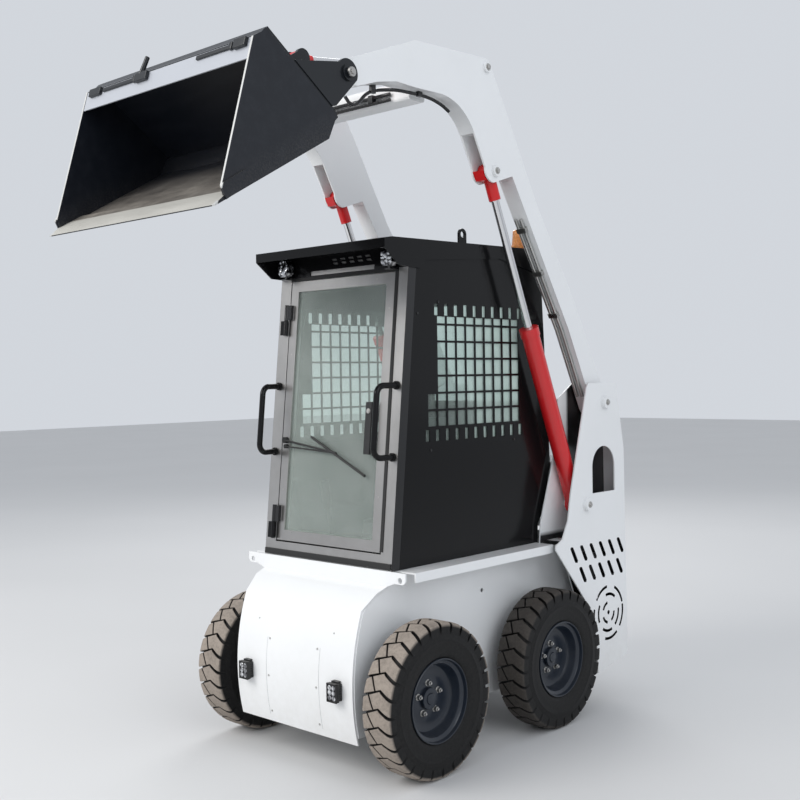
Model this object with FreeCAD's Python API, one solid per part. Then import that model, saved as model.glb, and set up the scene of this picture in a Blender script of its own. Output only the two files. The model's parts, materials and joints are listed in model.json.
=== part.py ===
import FreeCAD, Part
import math
import os
from FreeCAD import Vector

# Skid steer loader, raised boom, bucket part tipped. Millimetres.
# X runs across the machine (its own left is +X), it faces -Y, Z is up from the ground.
# While the pieces are drawn, Y counts from midway between the two axles.

# Gap between pieces that lie against each other
SEAT = 0.3

# Lower body: a welded tub between the wheels
HULL_HALF = 340.0
HULL_WALL = 8.0
HULL_BOTTOM = 165.0
HULL_TOP = 735.0
REAR_OVERHANG = 585.0
BULKHEAD_Y = 430.0
SILL_HEIGHT = 300.0
GATE_SHEET = 20.0
GATE_TOP = 1035.0
GATE_BOTTOM = 245.0

# Wheels
WHEELBASE = 800.0
TYRE_DIAMETER = 590.0
TYRE_WIDTH = 140.0
WHEEL_GAP = 78.0
RIM_LIP_RADIUS = 160.0
RIM_WALL = 5.0
RIM_DISH = 62.0
HUB_RADIUS = 48.0
AXLE_RADIUS = 38.0
AXLE_CLEARANCE = 0.5
TREAD_PITCHES = 28
TREAD_DEPTH = 9.0
GROOVE_WIDTH = 8.0
NOTCH_WIDTH = 15.0
NOTCH_REACH = 26.0

# Ledge over each pair of wheels
LEDGE_WIDTH = 122.0
LEDGE_LIP = 37.0
LEDGE_WALL = 6.0
LEDGE_FRONT_Y = -432.0

# Curved front plate, folded back at its knee, with an upright tie-down ear at each upper corner
FRONT_PLATE_WALL = 8.0
FRONT_INSET = 4.0
FRONT_BOTTOM_Y = -629.0
FRONT_BOTTOM_Z = 137.0
FRONT_BELLY_Y = -653.0
FRONT_BELLY_Z = 390.0
FRONT_KNEE_Y = -600.0
FRONT_KNEE_DROP = 136.0
FRONT_NECK_Y = -532.0
FRONT_NECK_DROP = 78.0
FRONT_TOP_Y = -484.0
FRONT_COLLAR = 60.0
EAR_REACH = 116.0
EAR_DEPTH = 44.0
EAR_CORNER = 18.0
EAR_HOLE_INSET = 28.0
EAR_HOLE_RADIUS = 11.0
EAR_HOLE_DROP = 29.0

# Cab
CAB_OVERHANG = 30.0
CAB_SHEET = 4.0
CAB_FRONT_Y = -464.0
CAB_LEAN = 0.1065
CAB_REAR_Y = 588.0
POST_WIDTH = 63.0
POST_DEPTH = 45.0
DOOR_SILL = 59.7
DOOR_HEIGHT = 1090.0
DOOR_DEPTH = 26.0
DOOR_GAP = 6.0
DOOR_RAIL = 44.0
TOP_BAR = 41.0
HEADER = 90.0
GLASS = 5.0
GLASS_SETBACK = 8.0
ROOF_RISE = 77.0
ROOF_FALL = 14.0
ROOF_SHEET = 4.0
ROOF_FRONT_Y = -440.0
BRIM_REACH = 42.0
BRIM_LIP = 37.0
BEACON_INSET = 32.0
BEACON_Y = 415.0
BEACON_RADIUS = 33.0
BEACON_HEIGHT = 84.0
LIFTING_EYE_INSET = 12.0
LIFTING_EYE_RADIUS = 24.0
LIFTING_EYE_HOLE = 13.0
HANDLE_INSET = 27.0
HANDLE_RISE = 369.0
HANDLE_HEIGHT = 277.0
HANDLE_REACH = 100.0
HANDLE_RADIUS = 12.0
HANDLE_BEND = 36.0
WIPER_RISE = 419.0
HINGE_OFFSET = 10.0
HINGE_REACH = 14.0
HINGE_RADIUS = 9.0
HINGE_PIN_RADIUS = 4.0
HINGE_LEAF = 30.0
PAN_TOP = 446.0
PAN_SHEET = 6.0
RISER_Y = -60.0
RISER_STEP = 18.0
SEAT_HALF = 210.0
ENGINE_HALF = 230.0
ENGINE_HEIGHT = 560.0
HOOD_RISE = 228.0
REAR_WINDOW_INSET = 120.0
REAR_WINDOW_DROP = 125.0
REAR_WINDOW_HEIGHT = 450.0
REAR_WINDOW_LAP = 20.0

# Side window: a lattice of upright and level bars cut from the panel
LATTICE_PITCH_Y = 61.0
LATTICE_PITCH_Z = 68.5
LATTICE_BAR_Y = 11.0
LATTICE_BAR_Z = 9.0
LATTICE_FIRST_Y = -183.0
LATTICE_DROP = 615.0
LATTICE_END_SLOT = 22.0
LATTICE_END_HEIGHT = 46.0

# Towers behind the cab, each an outer and an inner plate with the arm's foot between
TOWER_CLEARANCE = 15.0
TOWER_PLATE = 6.0
TOWER_INNER_PLATE = 8.0
TOWER_BOSS_RADIUS = 28.0
TOWER_BOSS_HEIGHT = 22.0
LOUVRE_PITCH = 76.5
LOUVRE_LEAN = 32.0
LOUVRE_HEIGHT = 75.0
LOUVRE_WIDTH = 27.0
FAN_INSET = 164.0
FAN_Z = 415.0
FAN_RADIUS = 128.0
FAN_SLOT = 13.0

# Boom: every place on it is an offset (y, z) from its pivot
PIVOT_INSET = 152.0
PIVOT_RISE = 614.0
ARM_CLEARANCE = 7.0
ARM_WIDTH = 75.0
ARM_WALL = 8.0
BOOM_PIN_RADIUS = 20.0
BUCKET_PIN_RADIUS = 18.0
PIN_CLEARANCE = 0.05
LIFT_EYE = (-758.0, 964.0)
LIFT_BASE = (-156.0, -455.0)
KNEE = (-809.0, 1374.0)
BUCKET_PIN = (-1610.0, 1197.0)
CROSSBEAM = (-1146.0, 1233.0)
CROSSBEAM_DEPTH = 90.0
CROSSBEAM_HEIGHT = 78.0
CROSSBEAM_CORNER = 14.0
PIPE_RADIUS = 7.0
PIPE_GAP = 4.0
HOSE_RADIUS = 6.5
HOSE_CLEARANCE = 5.0

# Cylinders
LIFT_BARREL_RADIUS = 43.0
LIFT_BARREL_LENGTH = 855.0
LIFT_ROD_RADIUS = 17.0
LIFT_ROD_END_RADIUS = 25.0
LIFT_ROD_END_LENGTH = 120.0
LIFT_ROD_INSIDE = 110.0
LIFT_EYE_RADIUS = 34.0
LIFT_EYE_WIDTH = 52.0
TILT_INSET = 43.0
TILT_BARREL_RADIUS = 30.0
TILT_BARREL_LENGTH = 520.0
TILT_ROD_RADIUS = 14.0
TILT_ROD_INSIDE = 60.0
TILT_EYE_RADIUS = 27.0
TILT_EYE_WIDTH = 44.0

# Bucket and its quick coupler: offsets (y, z) from the bucket's pin, as it hangs at rest
TILT_PIN = (-121.0, 50.0)
BACK_TOP = (-393.0, 58.0)
FRONT_TOP = (-429.0, 37.0)
FLANGE_TOP = (-376.0, 76.0)
FLANGE_LOW = (-53.0, -163.0)
BACK_LOW = (-68.0, -178.0)
HEEL = (-99.0, -245.0)
LIP_LOW = (-554.0, -502.0)
LIP_HIGH = (-569.0, -459.0)
EDGE_REACH = 48.0
EDGE_DEPTH = 110.0
EDGE_THICKNESS = 14.0
BUCKET_OVERHANG = 19.0
BUCKET_WALL = 6.0
BUCKET_SIDE_WALL = 8.0
CUTTER_PLATE = 6.0
COUPLER_PLATE = 14.0
LUG_PLATE = 12.0
LUG_CLEARANCE = 5.0
COLLAR_RADIUS = 29.0
COLLAR_HEIGHT = 8.0

# Places that follow from the sizes above
ledge_top = HULL_TOP + LEDGE_LIP
ledge_outer = HULL_HALF + LEDGE_WIDTH
hull_rear = WHEELBASE / 2 + REAR_OVERHANG
tyre_inner = HULL_HALF + WHEEL_GAP
tyre_outer = tyre_inner + TYRE_WIDTH
tyre_radius = TYRE_DIAMETER / 2
front_half = HULL_HALF - FRONT_INSET
front_top = ledge_top + 4
ear_half = HULL_HALF + EAR_REACH
ear_hole_x = ear_half - EAR_HOLE_INSET
cab_half = HULL_HALF + CAB_OVERHANG
cab_sill = ledge_top + SEAT
door_bottom = cab_sill + DOOR_SILL + DOOR_GAP
door_top = door_bottom + DOOR_HEIGHT
cab_top_bar = door_top + DOOR_GAP + TOP_BAR
roof_front = cab_top_bar + ROOF_RISE
roof_rear = roof_front + ROOF_FALL
post_inner = cab_half - POST_WIDTH
door_half = post_inner - DOOR_GAP
hinge_x = -(door_half + HINGE_OFFSET)
tower_inner = cab_half + TOWER_CLEARANCE + TOWER_INNER_PLATE
arm_inner = tower_inner + ARM_CLEARANCE
arm_outer = arm_inner + ARM_WIDTH
tower_outer = arm_outer + BUCKET_OVERHANG + TOWER_PLATE
bucket_half = arm_outer + BUCKET_OVERHANG
lug_outer = arm_outer + LUG_CLEARANCE + LUG_PLATE
lift_x = (arm_inner + arm_outer) / 2
tilt_x = arm_inner - TILT_INSET
pivot = (hull_rear - PIVOT_INSET, ledge_top + PIVOT_RISE)

PARTS = {}


def keep(name, shape):
    PARTS[name] = shape


def box(x0, x1, y0, y1, z0, z1):
    corner = Vector(min(x0, x1), min(y0, y1), min(z0, z1))
    return Part.makeBox(abs(x1 - x0), abs(y1 - y0), abs(z1 - z0), corner)


def rod(start, end, radius):
    along = end.sub(start)
    return Part.makeCylinder(radius, along.Length, start, along)


def cross_rod(y, z, x0, x1, radius):
    return rod(Vector(x0, y, z), Vector(x1, y, z), radius)


def outline(place, points):
    """Closed face; a point is (a, b), or (a, b, c, d) for an arc that passes (a, b) and ends at (c, d)."""
    edges = []
    last = place(*points[0][-2:])
    first = last
    for point in points[1:]:
        end = place(*point[-2:])
        if len(point) == 4:
            edges.append(Part.Arc(last, place(*point[:2]), end).toShape())
        elif end.distanceToPoint(last) > 1e-6:
            edges.append(Part.LineSegment(last, end).toShape())
        last = end
    if last.distanceToPoint(first) > 1e-6:
        edges.append(Part.LineSegment(last, first).toShape())
    return Part.Face(Part.Wire(edges))


def side_plate(x0, x1, points):
    """Plate seen from the side: points are (y, z), thickness runs from x0 to x1."""
    face = outline(lambda y, z: Vector(x0, y, z), points)
    return face.extrude(Vector(x1 - x0, 0, 0))


def front_block(y0, y1, points):
    """Plate seen from the front: points are (x, z), thickness runs from y0 to y1."""
    face = outline(lambda x, z: Vector(x, y0, z), points)
    return face.extrude(Vector(0, y1 - y0, 0))


def offset(origin, points):
    """Points given as offsets from an origin (y, z), as absolute points; arcs keep their two pairs."""
    return [tuple(value + origin[index % 2] for index, value in enumerate(point)) for point in points]


def mirror(shape):
    return shape.mirror(Vector(0, 0, 0), Vector(1, 0, 0))


def fuse(shapes):
    whole = shapes[0]
    if len(shapes) > 1:
        whole = whole.multiFuse(shapes[1:])
    return whole.removeSplitter()


def bent_pipe(points, radius, bend=None):
    """Round pipe along straight runs with tangent arcs: one bend radius, or as wide as the runs allow."""
    edges = []
    last = points[0]
    for before, corner, after in zip(points, points[1:], points[2:]):
        back = before.sub(corner)
        ahead = after.sub(corner)
        shorter = min(back.Length, ahead.Length)
        half = back.getAngle(ahead) / 2
        reach = bend / math.tan(half) if bend else 0.45 * shorter
        turn = reach * math.tan(half)
        start = corner.add(back.normalize() * reach)
        end = corner.add(ahead.normalize() * reach)
        axis = back.add(ahead).normalize()
        middle = corner.add(axis * (turn / math.sin(half) - turn))
        edges.append(Part.LineSegment(last, start).toShape())
        edges.append(Part.Arc(start, middle, end).toShape())
        last = end
    edges.append(Part.LineSegment(last, points[-1]).toShape())
    path = Part.Wire(edges)
    start_axis = points[1].sub(points[0])
    section = Part.Wire([Part.Circle(points[0], start_axis, radius).toShape()])
    return path.makePipeShell([section], True, False)


cab_front_z = ledge_top + 27


def cab_front(z, behind=0.0):
    """Y of the leaning face of the cab at height z."""
    return CAB_FRONT_Y + (z - cab_front_z) * CAB_LEAN + behind


def leaning(x0, x1, z0, z1, before, behind):
    """Bar in the leaning front face, from `before` in front of the face to `behind` at its back."""
    return side_plate(x0, x1, [
        (cab_front(z0, before), z0), (cab_front(z1, before), z1),
        (cab_front(z1, behind), z1), (cab_front(z0, behind), z0),
    ])


# Front plate: bulging sheet, trimmed to its outline, with an ear at each upper corner
front_knee = front_top - FRONT_KNEE_DROP
front_neck = front_top - FRONT_NECK_DROP
front_collar = front_top - FRONT_COLLAR


def front_line(back):
    """The plate's side view from its foot to its top edge, moved back by a distance square to it."""
    return [
        (FRONT_BOTTOM_Y + back, FRONT_BOTTOM_Z),
        (FRONT_BELLY_Y + back, FRONT_BELLY_Z, FRONT_KNEE_Y + back, front_knee - back / 2),
        (FRONT_NECK_Y + back / 2, front_neck - back),
        (FRONT_TOP_Y + back, front_collar - back),
        (FRONT_TOP_Y + back, front_top),
    ]


def front_sheet(near, far):
    """Closed side view of the plate between two distances behind its outer face."""
    outer = front_line(near)
    inner = front_line(far)
    knee = inner[1][2:]
    return outer + [inner[4], inner[3], inner[2], knee, inner[1][:2] + inner[0]]


sheet = side_plate(-ear_half, ear_half, front_sheet(0, FRONT_PLATE_WALL))
ear_low = front_top - EAR_DEPTH
half_front = [
    (0, FRONT_BOTTOM_Z),
    (front_half, FRONT_BOTTOM_Z),
    (front_half, front_knee),
    (front_half + 22, ear_low - 16),
    (ear_half - 56, ear_low),
    (ear_half - EAR_CORNER, ear_low),
    (ear_half - 0.29 * EAR_CORNER, ear_low + 0.29 * EAR_CORNER, ear_half, ear_low + EAR_CORNER),
    (ear_half, front_top),
    (0, front_top),
]
trim = front_block(FRONT_BELLY_Y - 100, FRONT_TOP_Y + 100, half_front)
front_plate = sheet.common(fuse([trim, mirror(trim)]))
ear_hole_z = front_top - EAR_HOLE_DROP
ear_hole_y = FRONT_TOP_Y + FRONT_PLATE_WALL / 2
for side in (-1, 1):
    centre = Vector(side * ear_hole_x, ear_hole_y, ear_hole_z)
    through = Vector(0, 40, 0)
    front_plate = front_plate.cut(rod(centre.sub(through), centre.add(through), EAR_HOLE_RADIUS))
keep("front_plate", front_plate)

# Tub: side walls, belly, rear sill and the bulkhead behind the seat
inside = HULL_HALF - HULL_WALL
tub_side = [
    (FRONT_BOTTOM_Y, HULL_BOTTOM),
    (FRONT_BELLY_Y, FRONT_BELLY_Z, FRONT_KNEE_Y, front_knee),
    (FRONT_TOP_Y, HULL_TOP),
    (hull_rear, HULL_TOP),
    (hull_rear, HULL_BOTTOM + 60),
    (hull_rear - 90, HULL_BOTTOM),
]
wall = side_plate(inside, HULL_HALF, tub_side)
belly = box(-HULL_HALF, HULL_HALF, FRONT_BELLY_Y, hull_rear - 90, HULL_BOTTOM, HULL_BOTTOM + HULL_WALL)
bulkhead = box(-inside, inside, BULKHEAD_Y, BULKHEAD_Y + HULL_WALL, HULL_BOTTOM, HULL_TOP)
rear_sill = box(-inside, inside, hull_rear - 60, hull_rear - 60 + HULL_WALL, HULL_BOTTOM + 30, SILL_HEIGHT)
belly_ramp = side_plate(-inside, inside, [
    (hull_rear - 90, HULL_BOTTOM),
    (hull_rear - 52, HULL_BOTTOM + 28),
    (hull_rear - 52, HULL_BOTTOM + 38),
    (hull_rear - 90, HULL_BOTTOM + HULL_WALL),
])
ledge_rear = pivot[0] - 363
ledge = fuse([
    box(inside, ledge_outer, LEDGE_FRONT_Y, ledge_rear, ledge_top - LEDGE_WALL, ledge_top),
    box(ledge_outer - LEDGE_WALL, ledge_outer, LEDGE_FRONT_Y, ledge_rear, HULL_TOP, ledge_top),
    box(inside, HULL_HALF, LEDGE_FRONT_Y, ledge_rear, HULL_TOP - 1, ledge_top),
])
tub = fuse([wall, mirror(wall), belly, bulkhead, rear_sill, belly_ramp, ledge, mirror(ledge)])
# The tub stops just behind the front plate
tub = tub.cut(side_plate(-ear_half, ear_half, [(FRONT_BELLY_Y - 100, FRONT_BOTTOM_Z)]
                         + front_line(FRONT_PLATE_WALL + SEAT) + [(FRONT_BELLY_Y - 100, front_top)]))
axle_y = {"front": -WHEELBASE / 2, "rear": WHEELBASE / 2}
axle_z = tyre_radius
for y in axle_y.values():
    for side in (-1, 1):
        housing = cross_rod(y, axle_z, side * (HULL_HALF - 20), side * (tyre_inner - 28), AXLE_RADIUS + 27)
        tub = tub.fuse(housing)
    tub = tub.cut(cross_rod(y, axle_z, -tyre_outer, tyre_outer, AXLE_RADIUS + SEAT))
# Small access hole in each side wall
tub = tub.cut(cross_rod(120, 610, -HULL_HALF - 10, HULL_HALF + 10, 9))
keep("chassis_tub", tub.removeSplitter())

# Axles and wheels
hub_face = tyre_outer - RIM_DISH
for end, y in axle_y.items():
    keep("axle_" + end, cross_rod(y, axle_z, -hub_face, hub_face, AXLE_RADIUS))

# Tyre section, from the bead to the shoulder: (distance out from the inner face, radius)
tyre_section = [
    (14, RIM_LIP_RADIUS), (4, RIM_LIP_RADIUS + 18), (0, tyre_radius - 70), (8, tyre_radius - 23),
    (20, tyre_radius - 6), (32, tyre_radius),
]
tyre_section += [(TYRE_WIDTH - across, radius) for across, radius in reversed(tyre_section)]
# Grooves of one tread pitch: from and to, as shares of the width and of the pitch, and the groove's width
GROOVES = [
    ((0.10, 0.06), (0.45, 0.30), GROOVE_WIDTH),
    ((0.45, 0.30), (0.62, 0.40), GROOVE_WIDTH),
    ((0.62, 0.40), (0.90, 0.10), GROOVE_WIDTH),
    ((0.45, 0.30), (0.22, 1.12), GROOVE_WIDTH),
]


def revolve_about_axle(points, y):
    """Ring turned about an axle at the given Y: points are (x, radius)."""
    face = outline(lambda x, radius: Vector(x, y, axle_z + radius), points)
    return face.revolve(Vector(0, y, axle_z), Vector(1, 0, 0), 360)


def tread_cutters(y):
    """Grooves and shoulder notches of every pitch, as straight bars and boxes let into the tread."""
    pitch = 360 / TREAD_PITCHES
    arc = 2 * math.pi * tyre_radius / TREAD_PITCHES
    floor = tyre_radius - TREAD_DEPTH
    bars = []
    for (u0, v0), (u1, v1), width in GROOVES:
        middle = (v0 + v1) / 2
        run = Vector((u1 - u0) * TYRE_WIDTH, (v1 - v0) * arc, 0)
        start = Vector(-width * 0.3, -width / 2, floor)
        bar = Part.makeBox(run.Length + width * 0.6, width, TREAD_DEPTH + 8, start)
        bar.rotate(Vector(0, 0, 0), Vector(0, 0, 1), math.degrees(math.atan2(run.y, run.x)))
        bar.translate(Vector(tyre_inner + u0 * TYRE_WIDTH, (v0 - middle) * arc, 0))
        bar.rotate(Vector(0, 0, 0), Vector(1, 0, 0), -middle * pitch)
        bars.append(bar)
    for x0, x1 in ((-5, NOTCH_REACH), (TYRE_WIDTH - NOTCH_REACH, TYRE_WIDTH + 5)):
        start = Vector(tyre_inner + x0, -NOTCH_WIDTH / 2, floor - 16)
        bars.append(Part.makeBox(x1 - x0, NOTCH_WIDTH, 40, start))
    group = Part.makeCompound(bars)
    cutters = []
    for count in range(TREAD_PITCHES):
        turned = group.copy()
        turned.rotate(Vector(0, 0, 0), Vector(1, 0, 0), count * pitch)
        turned.translate(Vector(0, y, axle_z))
        cutters += turned.Solids
    return cutters


# A tyre's tread points the same way on every wheel, so the right ones are moved over, not mirrored
tyre = revolve_about_axle([(tyre_inner + across, radius) for across, radius in tyre_section], axle_y["front"])
tyre = tyre.cut(tread_cutters(axle_y["front"]))
lip = RIM_LIP_RADIUS - SEAT
bore = AXLE_RADIUS + AXLE_CLEARANCE
rim = revolve_about_axle([
    (tyre_inner + 8, lip),
    (tyre_outer - 8, lip),
    (tyre_outer - 8, lip - RIM_WALL),
    (tyre_outer - 26, lip - RIM_WALL - 4),
    (tyre_outer - 34, lip - 24),
    (hub_face + 4, lip - 34),
    (hub_face, lip - 44),
    (hub_face, bore),
    (hub_face - 8, bore),
    (hub_face - 8, lip - 36),
    (hub_face - 4, lip - 20),
    (tyre_inner + 30, lip - 20),
    (tyre_inner + 22, lip - RIM_WALL),
    (tyre_inner + 8, lip - RIM_WALL),
], axle_y["front"])
cap = revolve_about_axle([
    (tyre_inner - 10, bore),
    (tyre_inner - 10, HUB_RADIUS + 14),
    (hub_face - 7.9, HUB_RADIUS + 14),
    (hub_face - 7.9, HUB_RADIUS),
    (hub_face + 12, HUB_RADIUS),
    (hub_face + 12, AXLE_RADIUS - 8),
    (hub_face + SEAT, AXLE_RADIUS - 8),
    (hub_face + SEAT, bore),
], axle_y["front"])
rim = rim.fuse(cap).removeSplitter()
WHEELS = {
    "front_left": ("front", 1), "front_right": ("front", -1),
    "rear_left": ("rear", 1), "rear_right": ("rear", -1),
}
for name, (end, side) in WHEELS.items():
    back = Vector(0, axle_y[end] - axle_y["front"], 0)
    over = Vector(0 if side > 0 else -tyre_inner - tyre_outer, 0, 0)
    keep("tyre_" + name, tyre.translated(back.add(over)))
    keep("rim_" + name, (rim if side > 0 else mirror(rim)).translated(back))

# Towers
tower_top = pivot[1] + 89
tower_rear = hull_rear + 31
rear_axle = axle_y["rear"]
tower_outline = [
    (pivot[0] - 126, tower_top),
    (pivot[0] + 106, tower_top),
    (pivot[0] + 167, pivot[1] - 222),
    (tower_rear, 225),
    (tower_rear - 6, 195),
    (rear_axle + 361, 150),
    (rear_axle + 352, 300),
    (rear_axle + 315, 440),
    (pivot[0] - 394, ledge_top - 21),
    (pivot[0] - 394, ledge_top),
    (pivot[0] - 345, ledge_top + 22),
    (pivot[0] - 300, ledge_top + 101),
    (pivot[0] - 277, ledge_top + 215),
    (pivot[0] - 141, tower_top - 20),
]
outer = side_plate(tower_outer - TOWER_PLATE, tower_outer, tower_outline)
window = side_plate(tower_outer - 20, tower_outer + 20, offset((pivot[0], ledge_top), [
    (-102, 203), (-102, 323), (-9, 414, 85, 323), (85, 203),
]))
cuts = [window]
# Louvre rows: (slots, distance of the first slot's head from the rear edge, its drop below the ledge)
LOUVRES = [(6, 455.0, 20.0), (5, 387.0, 116.0)]
for count, inset, drop in LOUVRES:
    for number in range(count):
        y = tower_rear - inset + number * LOUVRE_PITCH
        half = LOUVRE_WIDTH / 2
        head = offset((y, ledge_top - drop), [(-half, -8), (4 - half, 0), (half - 6, -2), (half + 2, -14)])
        foot = offset((y + LOUVRE_LEAN, ledge_top - drop - LOUVRE_HEIGHT), [
            (half, 10), (half - 4, 0), (6 - half, 2), (-half - 2, 14),
        ])
        cuts.append(side_plate(tower_outer - 20, tower_outer + 20, head + foot))
# Fan guard, rings of arc slots about one centre: (middle radius, starts of the arcs, length), in degrees
FAN_RINGS = [
    (FAN_RADIUS - 7, (15, 95, 165, 255, 320), 50),
    (FAN_RADIUS * 0.66, (50, 150, 235, 310), 55),
    (FAN_RADIUS * 0.36, (100, 200, 300), 60),
]


fan_y = tower_rear - FAN_INSET


def arc_slot(radius, start, sweep):
    """Slot along an arc about the fan's centre, angles from +Y towards +Z."""
    def at(distance, degrees):
        angle = math.radians(degrees)
        return (fan_y + distance * math.cos(angle), FAN_Z + distance * math.sin(angle))
    far = radius + FAN_SLOT / 2
    near = radius - FAN_SLOT / 2
    return side_plate(tower_outer - 20, tower_outer + 20, [
        at(far, start), at(far, start + sweep / 2) + at(far, start + sweep),
        at(near, start + sweep), at(near, start + sweep / 2) + at(near, start),
    ])


for radius, starts, sweep in FAN_RINGS:
    cuts += [arc_slot(radius, start, sweep) for start in starts]
cuts.append(cross_rod(fan_y, FAN_Z, tower_outer - 20, tower_outer + 20, 10))
outer = outer.cut(cuts)
inner_outline = [
    (pivot[0] - 93, tower_top),
    (pivot[0] + 106, tower_top),
    (pivot[0] + 167, pivot[1] - 222),
    (tower_rear - TOWER_PLATE, 225),
    (tower_rear - 12, 240),
    (rear_axle + 345, 240),
    (rear_axle + 345, 480),
    (rear_axle + 220, ledge_top),
    (ledge_rear + SEAT, ledge_top),
    (ledge_rear + 8, ledge_top + 86),
    (pivot[0] - 233, pivot[1] - 199),
    (pivot[0] - 211, pivot[1] + 19),
]
inner = side_plate(tower_inner - TOWER_INNER_PLATE, tower_inner, inner_outline)
rear_web = side_plate(tower_inner + SEAT, tower_outer - TOWER_PLATE + 1, [
    (pivot[0] + 98, tower_top - 12),
    (pivot[0] + 106, tower_top - 12),
    (pivot[0] + 166, pivot[1] - 222),
    (tower_rear - 7, 225),
    (tower_rear - 14, 225),
    (pivot[0] + 158, pivot[1] - 222),
])
web_inner = tower_inner + SEAT
web_outer = tower_outer - TOWER_PLATE + 1
shelf = box(web_inner, web_outer, pivot[0] - 313, pivot[0] - 233, ledge_top, ledge_top + 8)
foot = box(web_inner, web_outer, rear_axle + 362, rear_axle + 370, 200, 700)
tie = box(
    HULL_HALF + SEAT, tower_inner - TOWER_INNER_PLATE + 1, hull_rear - 195, hull_rear - 10,
    SILL_HEIGHT, SILL_HEIGHT + 8)
keep("tower_inner_left", fuse([inner, tie]))
keep("tower_inner_right", mirror(PARTS["tower_inner_left"]))
lift_base = offset(pivot, [LIFT_BASE])[0]
tower = [outer, rear_web, shelf, foot]
for y, z in (pivot, lift_base):
    tower.append(cross_rod(y, z, tower_inner + SEAT, tower_outer, BOOM_PIN_RADIUS))
    tower.append(cross_rod(y, z, tower_outer - 1, tower_outer + TOWER_BOSS_HEIGHT, TOWER_BOSS_RADIUS))
tower_left = fuse(tower)
keep("tower_left", tower_left)
tower_right = mirror(tower_left)

# Engine as one block, its hood, and the hinged rear door between the towers
gate_half = tower_inner - TOWER_INNER_PLATE - 4
engine_foot = HULL_BOTTOM + HULL_WALL + SEAT
keep("engine_block", box(
    -ENGINE_HALF, ENGINE_HALF, BULKHEAD_Y + 60, hull_rear - 130, engine_foot, engine_foot + ENGINE_HEIGHT))
hood_half = tower_inner - TOWER_INNER_PLATE - SEAT
hood_front = CAB_REAR_Y + 12
hood_low = ledge_top + HOOD_RISE
hood = side_plate(-hood_half, hood_half, [
    (hood_front, hood_low), (hood_front, hood_low + 120), (hood_front + 48, hood_low + 150),
    (hull_rear - 85, hood_low + 130), (hull_rear - 10, hood_low + 80), (hull_rear - 10, hood_low + 40),
    (hull_rear - 14, hood_low + 40), (hull_rear - 14, hood_low + 78), (hull_rear - 87, hood_low + 125),
    (hood_front + 49, hood_low + 145), (hood_front + 5, hood_low + 117), (hood_front + 5, hood_low),
])
# Louvres in the hood's top
for number in range(4):
    y = CAB_REAR_Y + 100 + number * 40
    hood = hood.cut(box(-hood_half + 90, hood_half - 90, y, y + 14, hood_low + 100, hood_low + 170))
keep("engine_hood", hood)
gate = box(-gate_half, gate_half, hull_rear + 4, hull_rear + 4 + GATE_SHEET, GATE_BOTTOM, GATE_TOP)
for number in range(5):
    z = GATE_BOTTOM + 315 + number * 60
    gate = gate.cut(box(-gate_half + 161, gate_half - 161, hull_rear, hull_rear + 30, z, z + 22))
# Rear door hinges on the right tower: heights of their feet
GATE_HINGES = [GATE_BOTTOM + 85, GATE_TOP - 175]
gate_hinge_x = -(tower_inner - TOWER_INNER_PLATE / 2)
gate_hinge_y = hull_rear + GATE_SHEET + 22
for foot_z in GATE_HINGES:
    at = Vector(gate_hinge_x, gate_hinge_y, foot_z)
    middle = Vector(gate_hinge_x, gate_hinge_y, foot_z + 40)
    top = Vector(gate_hinge_x, gate_hinge_y, foot_z + 80)
    fixed = fuse([
        rod(at, middle, 8),
        rod(middle, top, 4),
        box(gate_hinge_x - 40, gate_hinge_x, gate_hinge_y - 4, gate_hinge_y + 4, foot_z + 2, foot_z + 38),
        box(gate_hinge_x - 40, gate_hinge_x - 30, tower_rear - 26, gate_hinge_y + 4, foot_z + 2, foot_z + 38),
    ])
    tower_right = tower_right.fuse(fixed)
    moving = fuse([
        rod(middle.add(Vector(0, 0, SEAT)), top, 8),
        box(gate_hinge_x, gate_hinge_x + 50, gate_hinge_y - 4, gate_hinge_y + 4, foot_z + 42, foot_z + 78),
        box(gate_hinge_x + 38, gate_hinge_x + 50, hull_rear + 4, gate_hinge_y + 4, foot_z + 42, foot_z + 78),
    ])
    gate = gate.fuse(moving).cut(rod(at, top.add(Vector(0, 0, 1)), 4.1))
keep("tower_right", tower_right.removeSplitter())
keep("rear_door", gate.removeSplitter())

# Cab: posts, sill and header of bright steel round the door
header_top = cab_top_bar + HEADER - TOP_BAR
keep("cab_frame", fuse([
    leaning(post_inner, cab_half, cab_sill, cab_top_bar - 35, 0, POST_DEPTH),
    leaning(-cab_half, -post_inner, cab_sill, cab_top_bar - 35, 0, POST_DEPTH),
    leaning(-cab_half, cab_half, cab_sill, door_bottom - DOOR_GAP, 0, POST_DEPTH),
    leaning(-cab_half, cab_half, door_top + DOOR_GAP, header_top, 0, POST_DEPTH),
]))
# Door hinges: (foot of the hinge, its height)
HINGES = [(cab_sill + 72.7, 140.0), (door_top - 228.0, 130.0)]


def hinge_point(z):
    return Vector(hinge_x, cab_front(z, -HINGE_REACH), z)


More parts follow.
